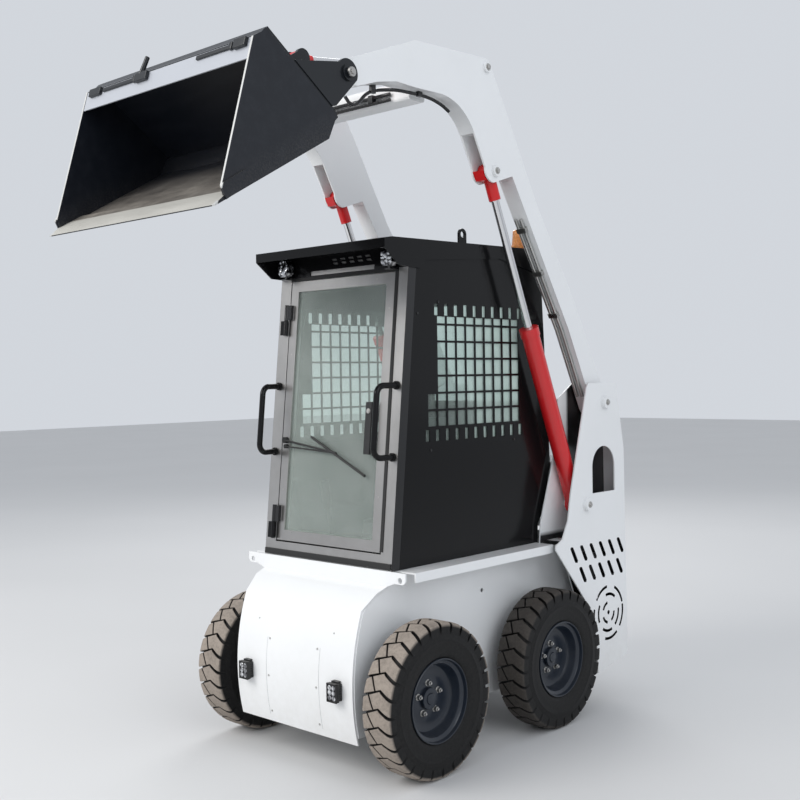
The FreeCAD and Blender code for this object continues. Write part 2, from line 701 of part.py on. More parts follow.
door_leaves = []
fixed_leaves = []
for foot_z, height in HINGES:
    middle = foot_z + height / 2
    top = foot_z + height
    leaf = leaning(hinge_x - HINGE_LEAF, hinge_x, foot_z + 2, middle - 2, -HINGE_REACH - 3, -HINGE_REACH + 5)
    foot = leaning(hinge_x - HINGE_LEAF, hinge_x - HINGE_LEAF + 12, foot_z + 2, middle - 2, -HINGE_REACH, -SEAT)
    pin = rod(hinge_point(middle - 5), hinge_point(top), HINGE_PIN_RADIUS)
    fixed_leaves.append(fuse([rod(hinge_point(foot_z), hinge_point(middle), HINGE_RADIUS), leaf, foot, pin]))
    knuckle = rod(hinge_point(middle + SEAT), hinge_point(top), HINGE_RADIUS)
    leaf = leaning(hinge_x, hinge_x + HINGE_LEAF, middle + 2, top - 2, -HINGE_REACH - 3, -HINGE_REACH + 5)
    foot = leaning(hinge_x + HINGE_LEAF - 12, hinge_x + HINGE_LEAF, middle + 2, top - 2, -HINGE_REACH, 1)
    moving = knuckle.fuse(leaf).fuse(foot)
    door_leaves.append(moving.cut(rod(hinge_point(foot_z), hinge_point(top + 9), HINGE_PIN_RADIUS + 0.1)))
keep("door_hinges", Part.makeCompound(fixed_leaves))

roof_rear_y = CAB_REAR_Y - 120
side_panel = side_plate(cab_half - CAB_SHEET, cab_half, [
    (cab_front(cab_sill, POST_DEPTH + SEAT), cab_sill),
    (cab_front(header_top, POST_DEPTH + SEAT), header_top),
    (cab_front(header_top, POST_DEPTH + SEAT), roof_front - ROOF_SHEET - 2),
    (roof_rear_y - 3, roof_rear - 2),
    (CAB_REAR_Y - 60, cab_top_bar - 19),
    (CAB_REAR_Y - 50, cab_top_bar - 59),
    (CAB_REAR_Y, ledge_top + 336),
    (CAB_REAR_Y - 18, ledge_top + 288),
    (CAB_REAR_Y - 18, ledge_top + 178),
    (CAB_REAR_Y - 100, ledge_top + 86),
    (CAB_REAR_Y - 105, cab_sill),
])
# Lattice rows from the foot up: (first column, columns); the top row is lower than the rest
LATTICE_ROWS = [(-1, 10), (-1, 10), (0, 9), (0, 9), (0, 9), (0, 9), (0, 9)]
LATTICE_TOP_ROW = 27.0


def lattice_cut(y0, y1, z0, z1):
    return box(cab_half - 20, cab_half + 20, y0, y1, z0, z1)


lattice_foot = door_top - LATTICE_DROP
cells = []
for row, (first, columns) in enumerate(LATTICE_ROWS):
    low = lattice_foot + row * LATTICE_PITCH_Z + LATTICE_BAR_Z / 2
    tall = LATTICE_TOP_ROW if row == len(LATTICE_ROWS) - 1 else LATTICE_PITCH_Z - LATTICE_BAR_Z
    for column in range(first, first + columns):
        y = LATTICE_FIRST_Y + column * LATTICE_PITCH_Y + LATTICE_BAR_Y / 2
        cells.append(lattice_cut(y, y + LATTICE_PITCH_Y - LATTICE_BAR_Y, low, low + tall))
lattice_head = lattice_foot + (len(LATTICE_ROWS) - 1) * LATTICE_PITCH_Z + LATTICE_TOP_ROW + LATTICE_BAR_Z
# End slots stand over and under the upright bars: (first bar, bars, foot of the slots)
LATTICE_ENDS = [(-1, 11, lattice_foot - LATTICE_BAR_Z - LATTICE_END_HEIGHT), (0, 10, lattice_head)]
for first, bars, foot_z in LATTICE_ENDS:
    for bar in range(first, first + bars):
        y = LATTICE_FIRST_Y + bar * LATTICE_PITCH_Y - LATTICE_END_SLOT / 2
        cells.append(lattice_cut(y, y + LATTICE_END_SLOT, foot_z, foot_z + LATTICE_END_HEIGHT))
side_panel = side_panel.cut(cells)
keep("cab_side_left", side_panel)
keep("cab_side_right", mirror(side_panel))
pane_outer = cab_half - CAB_SHEET - SEAT
pane = box(
    pane_outer - GLASS, pane_outer, LATTICE_FIRST_Y - 82, LATTICE_FIRST_Y + 10 * LATTICE_PITCH_Y,
    lattice_foot - 83, lattice_head + 65)
keep("side_windows", Part.makeCompound([pane, mirror(pane)]))

rear_wall_y = CAB_REAR_Y - 75
window_half = cab_half - REAR_WINDOW_INSET
window_top = cab_top_bar - REAR_WINDOW_DROP
window_foot = window_top - REAR_WINDOW_HEIGHT
cab_rear = box(-pane_outer, pane_outer, rear_wall_y, rear_wall_y + CAB_SHEET, hood_low, cab_top_bar)
keep("cab_rear", cab_rear.cut(box(
    -window_half, window_half, rear_wall_y - 10, rear_wall_y + 10, window_foot, window_top)))
glazed_half = window_half + REAR_WINDOW_LAP
keep("rear_window", box(
    -glazed_half, glazed_half, rear_wall_y - SEAT - GLASS, rear_wall_y - SEAT,
    window_foot - REAR_WINDOW_LAP, window_top + REAR_WINDOW_LAP))

# Floor pan and seat riser inside the tub
pan_half = inside - SEAT
riser_top = ledge_top + RISER_STEP
keep("cab_floor", fuse([
    box(-pan_half, pan_half, FRONT_KNEE_Y + 40, RISER_Y, PAN_TOP - PAN_SHEET, PAN_TOP),
    box(-pan_half, pan_half, RISER_Y - PAN_SHEET, RISER_Y, PAN_TOP - PAN_SHEET, riser_top),
    box(-pan_half, pan_half, RISER_Y - PAN_SHEET, BULKHEAD_Y - 20, riser_top - PAN_SHEET, riser_top),
]))

# Roof: a sheet that overhangs the door as a brim, with a black panel over the door and a cheek each side
brim_y = ROOF_FRONT_Y - BRIM_REACH
brim_z = roof_front - 7
roof_sheet = side_plate(-cab_half - 6, cab_half + 6, [
    (brim_y, brim_z - BRIM_LIP), (brim_y, brim_z), (ROOF_FRONT_Y, roof_front),
    (roof_rear_y, roof_rear + ROOF_SHEET), (roof_rear_y + 65, cab_top_bar - 15),
    (roof_rear_y + 62, cab_top_bar - 17), (roof_rear_y - 2, roof_rear),
    (ROOF_FRONT_Y, roof_front - ROOF_SHEET - 1), (brim_y + 4, brim_z - 4), (brim_y + 4, brim_z - BRIM_LIP),
])
panel_foot = cab_top_bar - 31
panel_top = roof_front - 2
over_door = leaning(-cab_half, cab_half, panel_foot, panel_top, -SEAT - 4, -SEAT)
over_door = over_door.cut(leaning(-188, 188, panel_foot - 5, panel_foot + 22, -30, 30))
# Vents in the panel: (rows above the panel's foot, shift along the panel)
VENT_ROWS = [(40.0, 8.0), (56.0, 0.0)]
VENT_PITCH = 48.0
for rise, along in VENT_ROWS:
    for number in range(5):
        x = -66 + along + number * VENT_PITCH
        z = panel_foot + rise
        vent = [(x, z + 8), (x + 30, z + 8), (x + 38, z), (x + 8, z)]
        over_door = over_door.cut(front_block(ROOF_FRONT_Y - 40, ROOF_FRONT_Y + 140, vent))
cheek = side_plate(cab_half + SEAT, cab_half + 6, [
    (brim_y, brim_z - BRIM_LIP), (brim_y, brim_z), (ROOF_FRONT_Y, roof_front), (roof_rear_y, roof_rear + 3),
    (roof_rear_y + 58, cab_top_bar - 5), (roof_rear_y + 58, cab_top_bar - 15), (230, cab_top_bar + 36),
    (-250, cab_top_bar), (-280, cab_top_bar - 35), (-400, cab_top_bar - 30),
])
keep("cab_roof", fuse([roof_sheet, over_door, cheek, mirror(cheek)]))

# Lamps under the brim, each on a bracket from the header
lamp_x = cab_half - 68
lamp_foot = cab_top_bar - 26
lamp_y = ROOF_FRONT_Y + 60
lamp = front_block(lamp_y - 18, lamp_y + 18, offset((lamp_x, lamp_foot), [
    (-28, 14), (-16, 0), (16, 0), (28, 14), (28, 54), (16, 68), (-16, 68), (-28, 54),
]))
stem = rod(Vector(lamp_x, lamp_y + 2, lamp_foot - 10), Vector(lamp_x, lamp_y + 2, lamp_foot + 2), 7)
bracket_foot = lamp_foot - 14
bracket = box(
    lamp_x - 14, lamp_x + 14, lamp_y - 12, cab_front(bracket_foot, 5), bracket_foot, bracket_foot + 5)
behind_face = leaning(-cab_half, cab_half, cab_sill, header_top, -SEAT, POST_DEPTH)
lamp = fuse([lamp, stem, bracket.cut(behind_face)])
keep("work_lights", Part.makeCompound([lamp, mirror(lamp)]))
led_x = front_half - 78
led_foot = 300.0
led = fuse([
    box(led_x - 26, led_x + 26, FRONT_BELLY_Y - 37, FRONT_BELLY_Y + 6, led_foot, led_foot + 72),
    box(led_x - 20, led_x + 20, FRONT_BELLY_Y - 20, FRONT_BELLY_Y + 1, led_foot + 70, led_foot + 78),
])
for number in range(3):
    z = led_foot + 17 + number * 18
    led = led.cut(box(led_x - 30, led_x + 30, FRONT_BELLY_Y - 22, FRONT_BELLY_Y - 2, z, z + 4))
led = led.cut(sheet.translated(Vector(0, -SEAT, 0)))
keep("front_lights", Part.makeCompound([led, mirror(led)]))


def roof_top(y):
    """Height of the roof's upper face at y."""
    share = (y - ROOF_FRONT_Y) / (roof_rear_y - ROOF_FRONT_Y)
    return roof_front + share * (roof_rear + ROOF_SHEET - roof_front)


beacon_foot = Vector(cab_half - BEACON_INSET, BEACON_Y, roof_top(BEACON_Y + BEACON_RADIUS) + SEAT)
base = Part.makeCylinder(BEACON_RADIUS, 16, beacon_foot)
dome_foot = beacon_foot.add(Vector(0, 0, 16))
dome = Part.makeCone(BEACON_RADIUS - 3, BEACON_RADIUS - 8, BEACON_HEIGHT - 22, dome_foot)
crown_foot = beacon_foot.add(Vector(0, 0, BEACON_HEIGHT - 6))
crown = Part.makeCone(BEACON_RADIUS - 8, BEACON_RADIUS - 16, 6, crown_foot)
keep("beacon", fuse([base, dome, crown]))


def lifting_eye(x, y, foot_z):
    reach = LIFTING_EYE_RADIUS
    plate = side_plate(x - 5, x + 5, [
        (y - reach, foot_z), (y - reach, foot_z + 36),
        (y, foot_z + 36 + reach, y + reach, foot_z + 36), (y + reach, foot_z),
    ])
    return plate.cut(cross_rod(y, foot_z + 36, x - 20, x + 20, LIFTING_EYE_HOLE))


eye_y = 0.0
eye_foot = roof_top(eye_y + LIFTING_EYE_RADIUS) + SEAT
eye_x = cab_half - LIFTING_EYE_INSET
eye = lifting_eye(eye_x, eye_y, eye_foot)
keep("lifting_eyes", Part.makeCompound([eye, mirror(eye)]))

handle_x = cab_half - HANDLE_INSET
handle_points = []
handle_foot = door_bottom + HANDLE_RISE
handle_top = handle_foot + HANDLE_HEIGHT
for z, ends in ((handle_top, (-5, HANDLE_REACH)), (handle_foot, (HANDLE_REACH, -5))):
    for out in ends:
        handle_points.append(Vector(handle_x - 0.1 * out, cab_front(z, -out), z))
handle = bent_pipe(handle_points, HANDLE_RADIUS, HANDLE_BEND)
feet = [rod(Vector(handle_x, cab_front(z, -9), z), Vector(handle_x, cab_front(z, 5), z), HANDLE_RADIUS + 5)
        for z in (handle_top, handle_foot)]
handle = fuse([handle] + feet).cut(behind_face)
keep("grab_handles", Part.makeCompound([handle, mirror(handle)]))

# Seat: cushion, reclined back and a headrest
keep("seat", fuse([
    side_plate(-SEAT_HALF, SEAT_HALF, [
        (-60, riser_top + SEAT), (-72, riser_top + 70), (-40, riser_top + 100, 0, riser_top + 104),
        (300, riser_top + 88), (330, riser_top + SEAT),
    ]),
    side_plate(-SEAT_HALF + 10, SEAT_HALF - 10, [
        (260, riser_top + 80), (350, riser_top + 500), (362, riser_top + 538, 395, riser_top + 540),
        (425, riser_top + 536, 428, riser_top + 500), (340, riser_top + 60),
    ]),
]))
lever_x = pan_half - 62
lever_y = RISER_Y - 50
lever = bent_pipe([
    Vector(lever_x, lever_y, PAN_TOP + SEAT), Vector(lever_x, lever_y, PAN_TOP + 114),
    Vector(lever_x, lever_y - 100, PAN_TOP + 614)], 9, 60)
grip = rod(Vector(lever_x, lever_y - 78, PAN_TOP + 504), Vector(lever_x, lever_y - 101.5, PAN_TOP + 622), 19)
lever = lever.fuse(grip).removeSplitter()
keep("control_levers", Part.makeCompound([lever, mirror(lever)]))

# Door
glass_half = door_half - DOOR_RAIL
door_frame = leaning(-door_half, door_half, door_bottom, door_top, 0, DOOR_DEPTH)
glass_bottom = door_bottom + DOOR_RAIL
glass_top = door_top - DOOR_RAIL
door_frame = door_frame.cut(leaning(-glass_half, glass_half, glass_bottom, glass_top, -50, 100))
keep("door_frame", fuse([door_frame] + door_leaves))
keep("door_glass", leaning(
    -glass_half + SEAT, glass_half - SEAT, glass_bottom + SEAT, glass_top - SEAT,
    GLASS_SETBACK, GLASS_SETBACK + GLASS))
lock_x = door_half - 93
keep("door_lock", leaning(lock_x, lock_x + 32, door_bottom + 377, door_bottom + 582, -28, GLASS_SETBACK - SEAT))
# Wiper: hub, a main arm with a second one beside it, and the blade
wiper_x = -(door_half - 25)
wiper_z = door_bottom + WIPER_RISE
blade_tip = (187 - door_half, wiper_z + 17)
blade_end = (door_half - 95, wiper_z - 128)


def on_door(x, z, out):
    return Vector(x, cab_front(z, -out), z)


# The arms hold the blade a little short of its middle
held_x = blade_tip[0] + 0.48125 * (blade_end[0] - blade_tip[0])
wiper_end = on_door(held_x, wiper_z - 44, 11)


wiper = fuse([
    rod(on_door(wiper_x, wiper_z, -5), on_door(wiper_x, wiper_z, 16), 13),
    rod(on_door(wiper_x, wiper_z, 12), wiper_end, 4.5),
    rod(on_door(wiper_x + 6, wiper_z - 26, -5), on_door(wiper_x + 6, wiper_z - 26, 14), 9),
    rod(on_door(wiper_x + 6, wiper_z - 26, 11), wiper_end, 3.5),
    rod(on_door(blade_tip[0], blade_tip[1], 9), on_door(blade_end[0], blade_end[1], 9), 5.5),
]).cut(behind_face)
keep("wiper", wiper)

# Arm: outer and inner plates of one outline, closed along the back and under the curve
UNDER_ARM = [(-1104, 1219), (-1236, 1217), (-1342, 1220), (-1444, 1200), (-1543, 1167)]
arm_points = offset(pivot, [
    (BUCKET_PIN[0] - 30, BUCKET_PIN[1] - 36),
    (BUCKET_PIN[0] - 47, BUCKET_PIN[1], BUCKET_PIN[0] - 20, BUCKET_PIN[1] + 43),
    (-1380, 1336),
    (-1232, 1395),
    (-800, 1412),
    (-769, 1376),
    (-692, 1249),
    (-473, 867),
    (-191, 454),
    (51, 31),
    (31, -51, -51, -31),
    (-239, 327),
    (-640, 957),
    (LIFT_EYE[0] - 8, LIFT_EYE[1] - 48),
    (LIFT_EYE[0] - 48, LIFT_EYE[1] - 30, LIFT_EYE[0] - 62, LIFT_EYE[1] + 10),
    (-882, 1089),
    (-983, 1192) + UNDER_ARM[0],
] + UNDER_ARM[1:])
arm_block = side_plate(arm_inner, arm_outer, arm_points)
# Room for the lift cylinder's rod end, open at the arm's front edge
eye_at = offset(pivot, [LIFT_EYE])[0]
pocket = side_plate(arm_inner + ARM_WALL, arm_outer - ARM_WALL, offset(eye_at, [
    (-220, 100), (-135, -50), (-135, -150), (85, -150), (130, -20), (75, 70), (-15, 150),
    (-110, 137), (-160, 133),
]))
arm_block = arm_block.cut(pocket)
bucket_pin = offset(pivot, [BUCKET_PIN])[0]
for (y, z), radius in ((pivot, BOOM_PIN_RADIUS), (bucket_pin, BUCKET_PIN_RADIUS)):
    arm_block = arm_block.cut(cross_rod(y, z, arm_inner - 20, arm_outer + 25, radius + PIN_CLEARANCE))
knee_y, knee_z = offset(pivot, [KNEE])[0]
arm_left = fuse([
    arm_block,
    cross_rod(eye_at[0], eye_at[1], arm_outer - 1, arm_outer + 14, 22),
    cross_rod(knee_y, knee_z, arm_outer - 1, arm_outer + 14, 20),
    cross_rod(knee_y, knee_z, tilt_x - 26, arm_inner + 1, 15),
])
keep("boom_arm_left", arm_left)
keep("boom_arm_right", mirror(arm_left))
beam_y, beam_z = offset(pivot, [CROSSBEAM])[0]
beam_half = arm_inner - SEAT
beam_front = beam_y - CROSSBEAM_DEPTH / 2
beam_low = beam_z - CROSSBEAM_HEIGHT / 2
crossbeam = box(
    -beam_half, beam_half, beam_front, beam_front + CROSSBEAM_DEPTH, beam_low, beam_low + CROSSBEAM_HEIGHT)
long_edges = [edge for edge in crossbeam.Edges if abs(edge.BoundBox.XLength - 2 * beam_half) < 0.01]
keep("boom_crossbeam", crossbeam.makeFillet(CROSSBEAM_CORNER, long_edges))

# Pipes down the front edge of each arm, held by clamps, and two along the crossbeam
edge_head = Vector(0, pivot[0] - 640, pivot[1] + 957)
edge_turn = Vector(0, pivot[0] - 239, pivot[1] + 327)
edge_foot = Vector(0, pivot[0] - 51, pivot[1] - 31)
edge_run = edge_turn.sub(edge_head).normalize()
edge_out = Vector(0, edge_run.z, -edge_run.y)
pipe_off = PIPE_GAP + PIPE_RADIUS


def arm_edge(distance, out):
    """Point (y, z) beside the arm's front edge: distance down from its upper end, and distance off it."""
    point = edge_head.add(edge_run * distance).add(edge_out * out)
    return (point.y, point.z)


lower_run = edge_foot.sub(edge_turn).normalize()
edge_length = edge_turn.sub(edge_head).Length
pipes = []
for x in (arm_inner + 20, arm_inner + 46):
    head = arm_edge(190, pipe_off)
    turn = arm_edge(edge_length, pipe_off)
    tail = Vector(x, turn[0], turn[1]).add(lower_run * 330)
    pipes.append(bent_pipe([Vector(x, head[0], head[1]), Vector(x, turn[0], turn[1]), tail], PIPE_RADIUS, 300))
for distance in (230, 440, 650):
    pipes.append(side_plate(arm_inner + 10, arm_inner + 56, [
        arm_edge(distance, SEAT), arm_edge(distance, pipe_off + PIPE_RADIUS + 3),
        arm_edge(distance + 22, pipe_off + PIPE_RADIUS + 3), arm_edge(distance + 22, SEAT),
    ]))
arm_pipes = fuse(pipes)
beam_pipes = []
for rise in (13, 35):
    pipe_z = beam_low + rise
    beam_pipes.append(cross_rod(beam_front - pipe_off, pipe_z, 30 - beam_half, beam_half - 90, PIPE_RADIUS))
for x in (-280, -40, 200):
    clamp_y = beam_front - pipe_off - PIPE_RADIUS - 3
    clamp_z = beam_low + CROSSBEAM_CORNER + 1
    beam_pipes.append(box(x, x + 24, clamp_y, beam_front - SEAT, clamp_z, beam_low + 45))
# Hose under the left arm, whose loop hangs inside the line of the front tyre: offsets (y, z) from the pivot
HOSE_UNDER_ARM = [(-1000, 1172), (-1040, 1190), (-1100, 1204), (-1170, 1208), (-1300, 1203)]
HOSE_LOOP = [
    (-1352, 1200), (-1404, 1186), (-1440, 1166), (-1466, 1138), (-1492, 1120), (-1520, 1120), (-1542, 1142),
]
loop_x = tyre_inner - HOSE_CLEARANCE - HOSE_RADIUS
hose = bent_pipe(
    [Vector(lift_x, y, z) for y, z in offset(pivot, HOSE_UNDER_ARM)]
    + [Vector(loop_x, y, z) for y, z in offset(pivot, HOSE_LOOP)], HOSE_RADIUS)


def under_arm(y):
    """Height of the arm's underside at y, both as offsets from the boom's pivot."""
    for (y0, z0), (y1, z1) in zip(UNDER_ARM, UNDER_ARM[1:]):
        if y1 <= y <= y0:
            return z0 + (z1 - z0) * (y - y0) / (y1 - y0)


# Clamps that hold the hose to the arm: (y of the clamp's two ends, its foot, middle across)
HOSE_CLAMPS = [(-1190, -1168, 1198, lift_x), (-1414, -1392, 1177, loop_x)]
for y0, y1, foot_z, x in HOSE_CLAMPS:
    hose = hose.fuse(side_plate(x - HOSE_RADIUS / 2, x + HOSE_RADIUS + 4, offset(pivot, [
        (y0, foot_z), (y0, under_arm(y0) - SEAT), (y1, under_arm(y1) - SEAT), (y1, foot_z),
    ])))
keep("boom_pipes", Part.makeCompound([arm_pipes, mirror(arm_pipes), fuse(beam_pipes), hose]))


def cylinder_pair(base, eye, x, sizes):
    """Barrel with its base eye, and rod with its end eye, drawn from base to eye."""
    base = Vector(x, base[0], base[1])
    eye = Vector(x, eye[0], eye[1])
    along = eye.sub(base).normalize()
    half = sizes["eye_width"] / 2
    eye_edge = eye.sub(along * (sizes["eye_radius"] * 0.7))
    top = base.add(along * sizes["barrel_length"])
    barrel = rod(base.add(along * sizes["eye_radius"] * 0.6), top, sizes["barrel_radius"])
    gland = rod(top.sub(along * 38), top.sub(along * 1), sizes["barrel_radius"] + 4)
    end_eye = cross_rod(base.y, base.z, x - half, x + half, sizes["base_radius"])
    barrel = fuse([barrel, gland, end_eye])
    barrel = barrel.cut(cross_rod(base.y, base.z, x - 80, x + 80, sizes["base_pin"] + PIN_CLEARANCE))
    bore = rod(base.add(along * (sizes["base_radius"] + 20)), top.add(along), sizes["rod_radius"] + SEAT)
    barrel = barrel.cut(bore)
    shaft = rod(top.sub(along * sizes["rod_inside"]), eye_edge, sizes["rod_radius"])
    sleeve = rod(eye.sub(along * sizes["rod_end_length"]), eye_edge, sizes["rod_end_radius"])
    eye_ring = cross_rod(eye.y, eye.z, x - half, x + half, sizes["eye_radius"])
    return barrel.removeSplitter(), [shaft, sleeve, eye_ring]


# Lift cylinders, each from the tower to the arm
lift_sizes = {
    "barrel_radius": LIFT_BARREL_RADIUS - 4, "barrel_length": LIFT_BARREL_LENGTH, "eye_radius": LIFT_EYE_RADIUS,
    "base_radius": 40.0, "eye_width": LIFT_EYE_WIDTH, "base_pin": BOOM_PIN_RADIUS,
    "rod_radius": LIFT_ROD_RADIUS, "rod_inside": LIFT_ROD_INSIDE, "rod_end_length": LIFT_ROD_END_LENGTH,
    "rod_end_radius": LIFT_ROD_END_RADIUS,
}
barrel, piston = cylinder_pair(lift_base, eye_at, lift_x, lift_sizes)
# Block at the rod's end that shows in front of the arm
rod_block = side_plate(lift_x - LIFT_EYE_WIDTH / 2, lift_x + LIFT_EYE_WIDTH / 2, offset(eye_at, [
    (-66, -3), (-22, 7), (8, -2), (8, -38), (-46, -40),
]))
piston = fuse(piston + [rod_block])
keep("lift_barrel_left", barrel)
keep("lift_barrel_right", mirror(barrel))
keep("lift_rod_left", piston)
keep("lift_rod_right", mirror(piston))

tilt_pin = offset(bucket_pin, [TILT_PIN])[0]
tilt_sizes = {
    "barrel_radius": TILT_BARREL_RADIUS - 4, "barrel_length": TILT_BARREL_LENGTH, "eye_radius": TILT_EYE_RADIUS,
    "base_radius": 27.0, "eye_width": TILT_EYE_WIDTH, "base_pin": 15.0, "rod_radius": TILT_ROD_RADIUS,
    "rod_inside": TILT_ROD_INSIDE, "rod_end_length": 70.0, "rod_end_radius": 18.0,
}
barrel, piston = cylinder_pair((knee_y, knee_z), tilt_pin, tilt_x, tilt_sizes)
piston = fuse(piston)
keep("tilt_barrel_left", barrel)
keep("tilt_barrel_right", mirror(barrel))
keep("tilt_rod_left", piston)
keep("tilt_rod_right", mirror(piston))

# Bucket: side plates, bent floor and back, open front
BUCKET_SIDE = [FRONT_TOP, BACK_TOP, FLANGE_TOP, FLANGE_LOW, BACK_LOW, HEEL, LIP_LOW, LIP_HIGH]
bucket_side = side_plate(bucket_half - BUCKET_SIDE_WALL, bucket_half, offset(bucket_pin, BUCKET_SIDE))
floor_dir = Vector(0, LIP_LOW[0] - HEEL[0], LIP_LOW[1] - HEEL[1]).normalize()
floor_up = Vector(0, floor_dir.z, -floor_dir.y)


def on_floor(along, out):
    """Offset (y, z) of a point near the floor's lip: distance forward of it, and distance above the floor."""
    point = floor_dir * along + floor_up * out
    return (LIP_LOW[0] + point.y, LIP_LOW[1] + point.z)


span = bucket_half - BUCKET_SIDE_WALL
shell = side_plate(-span - 1, span + 1, offset(bucket_pin, [
    FRONT_TOP, BACK_TOP, FLANGE_TOP, FLANGE_LOW, BACK_LOW, HEEL, LIP_LOW, on_floor(0, BUCKET_WALL),
    (HEEL[0] + floor_up.y * BUCKET_WALL - 3, HEEL[1] + floor_up.z * BUCKET_WALL + 1),
    (BACK_LOW[0] - 7, BACK_LOW[1] + 1),
    (FLANGE_LOW[0] - 10, FLANGE_LOW[1] - 1), (FLANGE_TOP[0] - 2, FLANGE_TOP[1] - 8),
    (BACK_TOP[0] + 6, BACK_TOP[1] - 4), (FRONT_TOP[0] + 6, FRONT_TOP[1] - 4),
]))
edge = side_plate(-bucket_half, bucket_half, offset(bucket_pin, [
    on_floor(-EDGE_DEPTH, 0), on_floor(EDGE_REACH, 0), on_floor(EDGE_REACH, 4), on_floor(0, EDGE_THICKNESS),
    on_floor(-EDGE_DEPTH, EDGE_THICKNESS),
]))
cutter = side_plate(bucket_half - 1, bucket_half + CUTTER_PLATE, offset(bucket_pin, [
    LIP_LOW, (LIP_LOW[0] - 19, LIP_LOW[1] + 38), (LIP_HIGH[0] + 2, LIP_HIGH[1] + 8),
    (LIP_HIGH[0] + 89, LIP_HIGH[1] + 60), (LIP_HIGH[0] + 104, LIP_HIGH[1] + 64),
    (LIP_LOW[0] + 107, LIP_LOW[1] + 68),
]))
keep("bucket", fuse([shell, bucket_side, mirror(bucket_side), edge, cutter, mirror(cutter)]))

# Coupler: plate against the bucket's back, with lugs round the arm ends and the tilt rods
back_dir = Vector(0, FLANGE_TOP[0] - FLANGE_LOW[0], FLANGE_TOP[1] - FLANGE_LOW[1]).normalize()
back_out = Vector(0, back_dir.z, -back_dir.y)


def on_back(along, out):
    """Offset (y, z) of a point on the bucket's back: distance up from its low edge, and distance off it."""
    point = back_dir * along + back_out * out
    return (FLANGE_LOW[0] + point.y, FLANGE_LOW[1] + point.z)


plate = side_plate(-lug_outer + 4, lug_outer - 4, offset(bucket_pin, [
    on_back(4, SEAT), on_back(395, SEAT), on_back(395, COUPLER_PLATE), on_back(30, COUPLER_PLATE),
    on_back(4, 8),
]))
lug_outline = offset(bucket_pin, [
    on_back(40, COUPLER_PLATE - 1), on_back(250, COUPLER_PLATE - 1), (-40, 32), (6, 50, 45, -18),
    on_back(28, COUPLER_PLATE + 14),
])
inner_lug_face = arm_inner - LUG_CLEARANCE
outer_lug = side_plate(lug_outer - LUG_PLATE, lug_outer, lug_outline)
inner_lug = side_plate(inner_lug_face - LUG_PLATE, inner_lug_face, lug_outline)
tilt_outline = offset(bucket_pin, [on_back(60, COUPLER_PLATE - 1), on_back(260, COUPLER_PLATE - 1)])
tilt_outline += offset(tilt_pin, [(-28, 14), (5, 31, 30, -8)])
tilt_gap = TILT_EYE_WIDTH / 2 + 3
pin_y, pin_z = bucket_pin
lugs = [
    outer_lug,
    inner_lug,
    side_plate(tilt_x - tilt_gap - LUG_PLATE, tilt_x - tilt_gap, tilt_outline),
    side_plate(tilt_x + tilt_gap, inner_lug_face, tilt_outline),
    cross_rod(pin_y, pin_z, inner_lug_face - LUG_PLATE, lug_outer + COLLAR_HEIGHT + 12, BUCKET_PIN_RADIUS),
    cross_rod(pin_y, pin_z, lug_outer - 1, lug_outer + COLLAR_HEIGHT, COLLAR_RADIUS),
]
keep("coupler", fuse([plate] + lugs + [mirror(lug) for lug in lugs]))

# The frame's origin: on the ground, under the middle of the machine's outline
overall = FreeCAD.BoundBox()
for shape in PARTS.values():
    overall.add(shape.BoundBox)
shift = Vector(-(overall.XMin + overall.XMax) / 2, -(overall.YMin + overall.YMax) / 2, -overall.ZMin)

os.makedirs("parts", exist_ok=True)
for name, shape in PARTS.items():
    placed = shape.translated(shift)
    placed.exportStep("parts/" + name + ".step")
    state = "valid" if placed.isValid() else "NOT VALID"
    print(name, len(placed.Solids), "solids", state, round(placed.Volume / 1e6, 2), "litres")
print("nodes", len(PARTS), "shift", shift, "box", overall)
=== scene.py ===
import json
import math

import bmesh
import bpy
from mathutils import Matrix, Vector
from mathutils.bvhtree import BVHTree

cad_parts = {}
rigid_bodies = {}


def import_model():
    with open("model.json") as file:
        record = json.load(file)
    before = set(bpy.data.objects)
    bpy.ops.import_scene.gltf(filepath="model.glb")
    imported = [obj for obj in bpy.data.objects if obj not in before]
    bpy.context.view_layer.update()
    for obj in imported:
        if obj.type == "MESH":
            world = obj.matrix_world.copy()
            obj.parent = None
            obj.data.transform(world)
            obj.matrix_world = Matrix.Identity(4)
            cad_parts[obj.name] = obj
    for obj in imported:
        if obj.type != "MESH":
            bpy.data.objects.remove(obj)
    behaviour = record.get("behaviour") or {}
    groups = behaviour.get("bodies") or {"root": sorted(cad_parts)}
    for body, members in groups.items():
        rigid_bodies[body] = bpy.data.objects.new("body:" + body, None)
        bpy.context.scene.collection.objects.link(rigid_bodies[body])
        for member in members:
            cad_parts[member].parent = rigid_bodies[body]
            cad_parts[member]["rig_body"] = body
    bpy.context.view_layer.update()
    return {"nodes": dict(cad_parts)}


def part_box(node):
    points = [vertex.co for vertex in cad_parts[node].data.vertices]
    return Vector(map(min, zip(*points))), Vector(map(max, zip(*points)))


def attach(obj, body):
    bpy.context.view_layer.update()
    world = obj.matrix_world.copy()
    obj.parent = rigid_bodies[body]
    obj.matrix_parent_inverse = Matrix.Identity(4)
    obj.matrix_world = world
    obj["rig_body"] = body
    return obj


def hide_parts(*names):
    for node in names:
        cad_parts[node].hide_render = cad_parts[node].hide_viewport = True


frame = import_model()

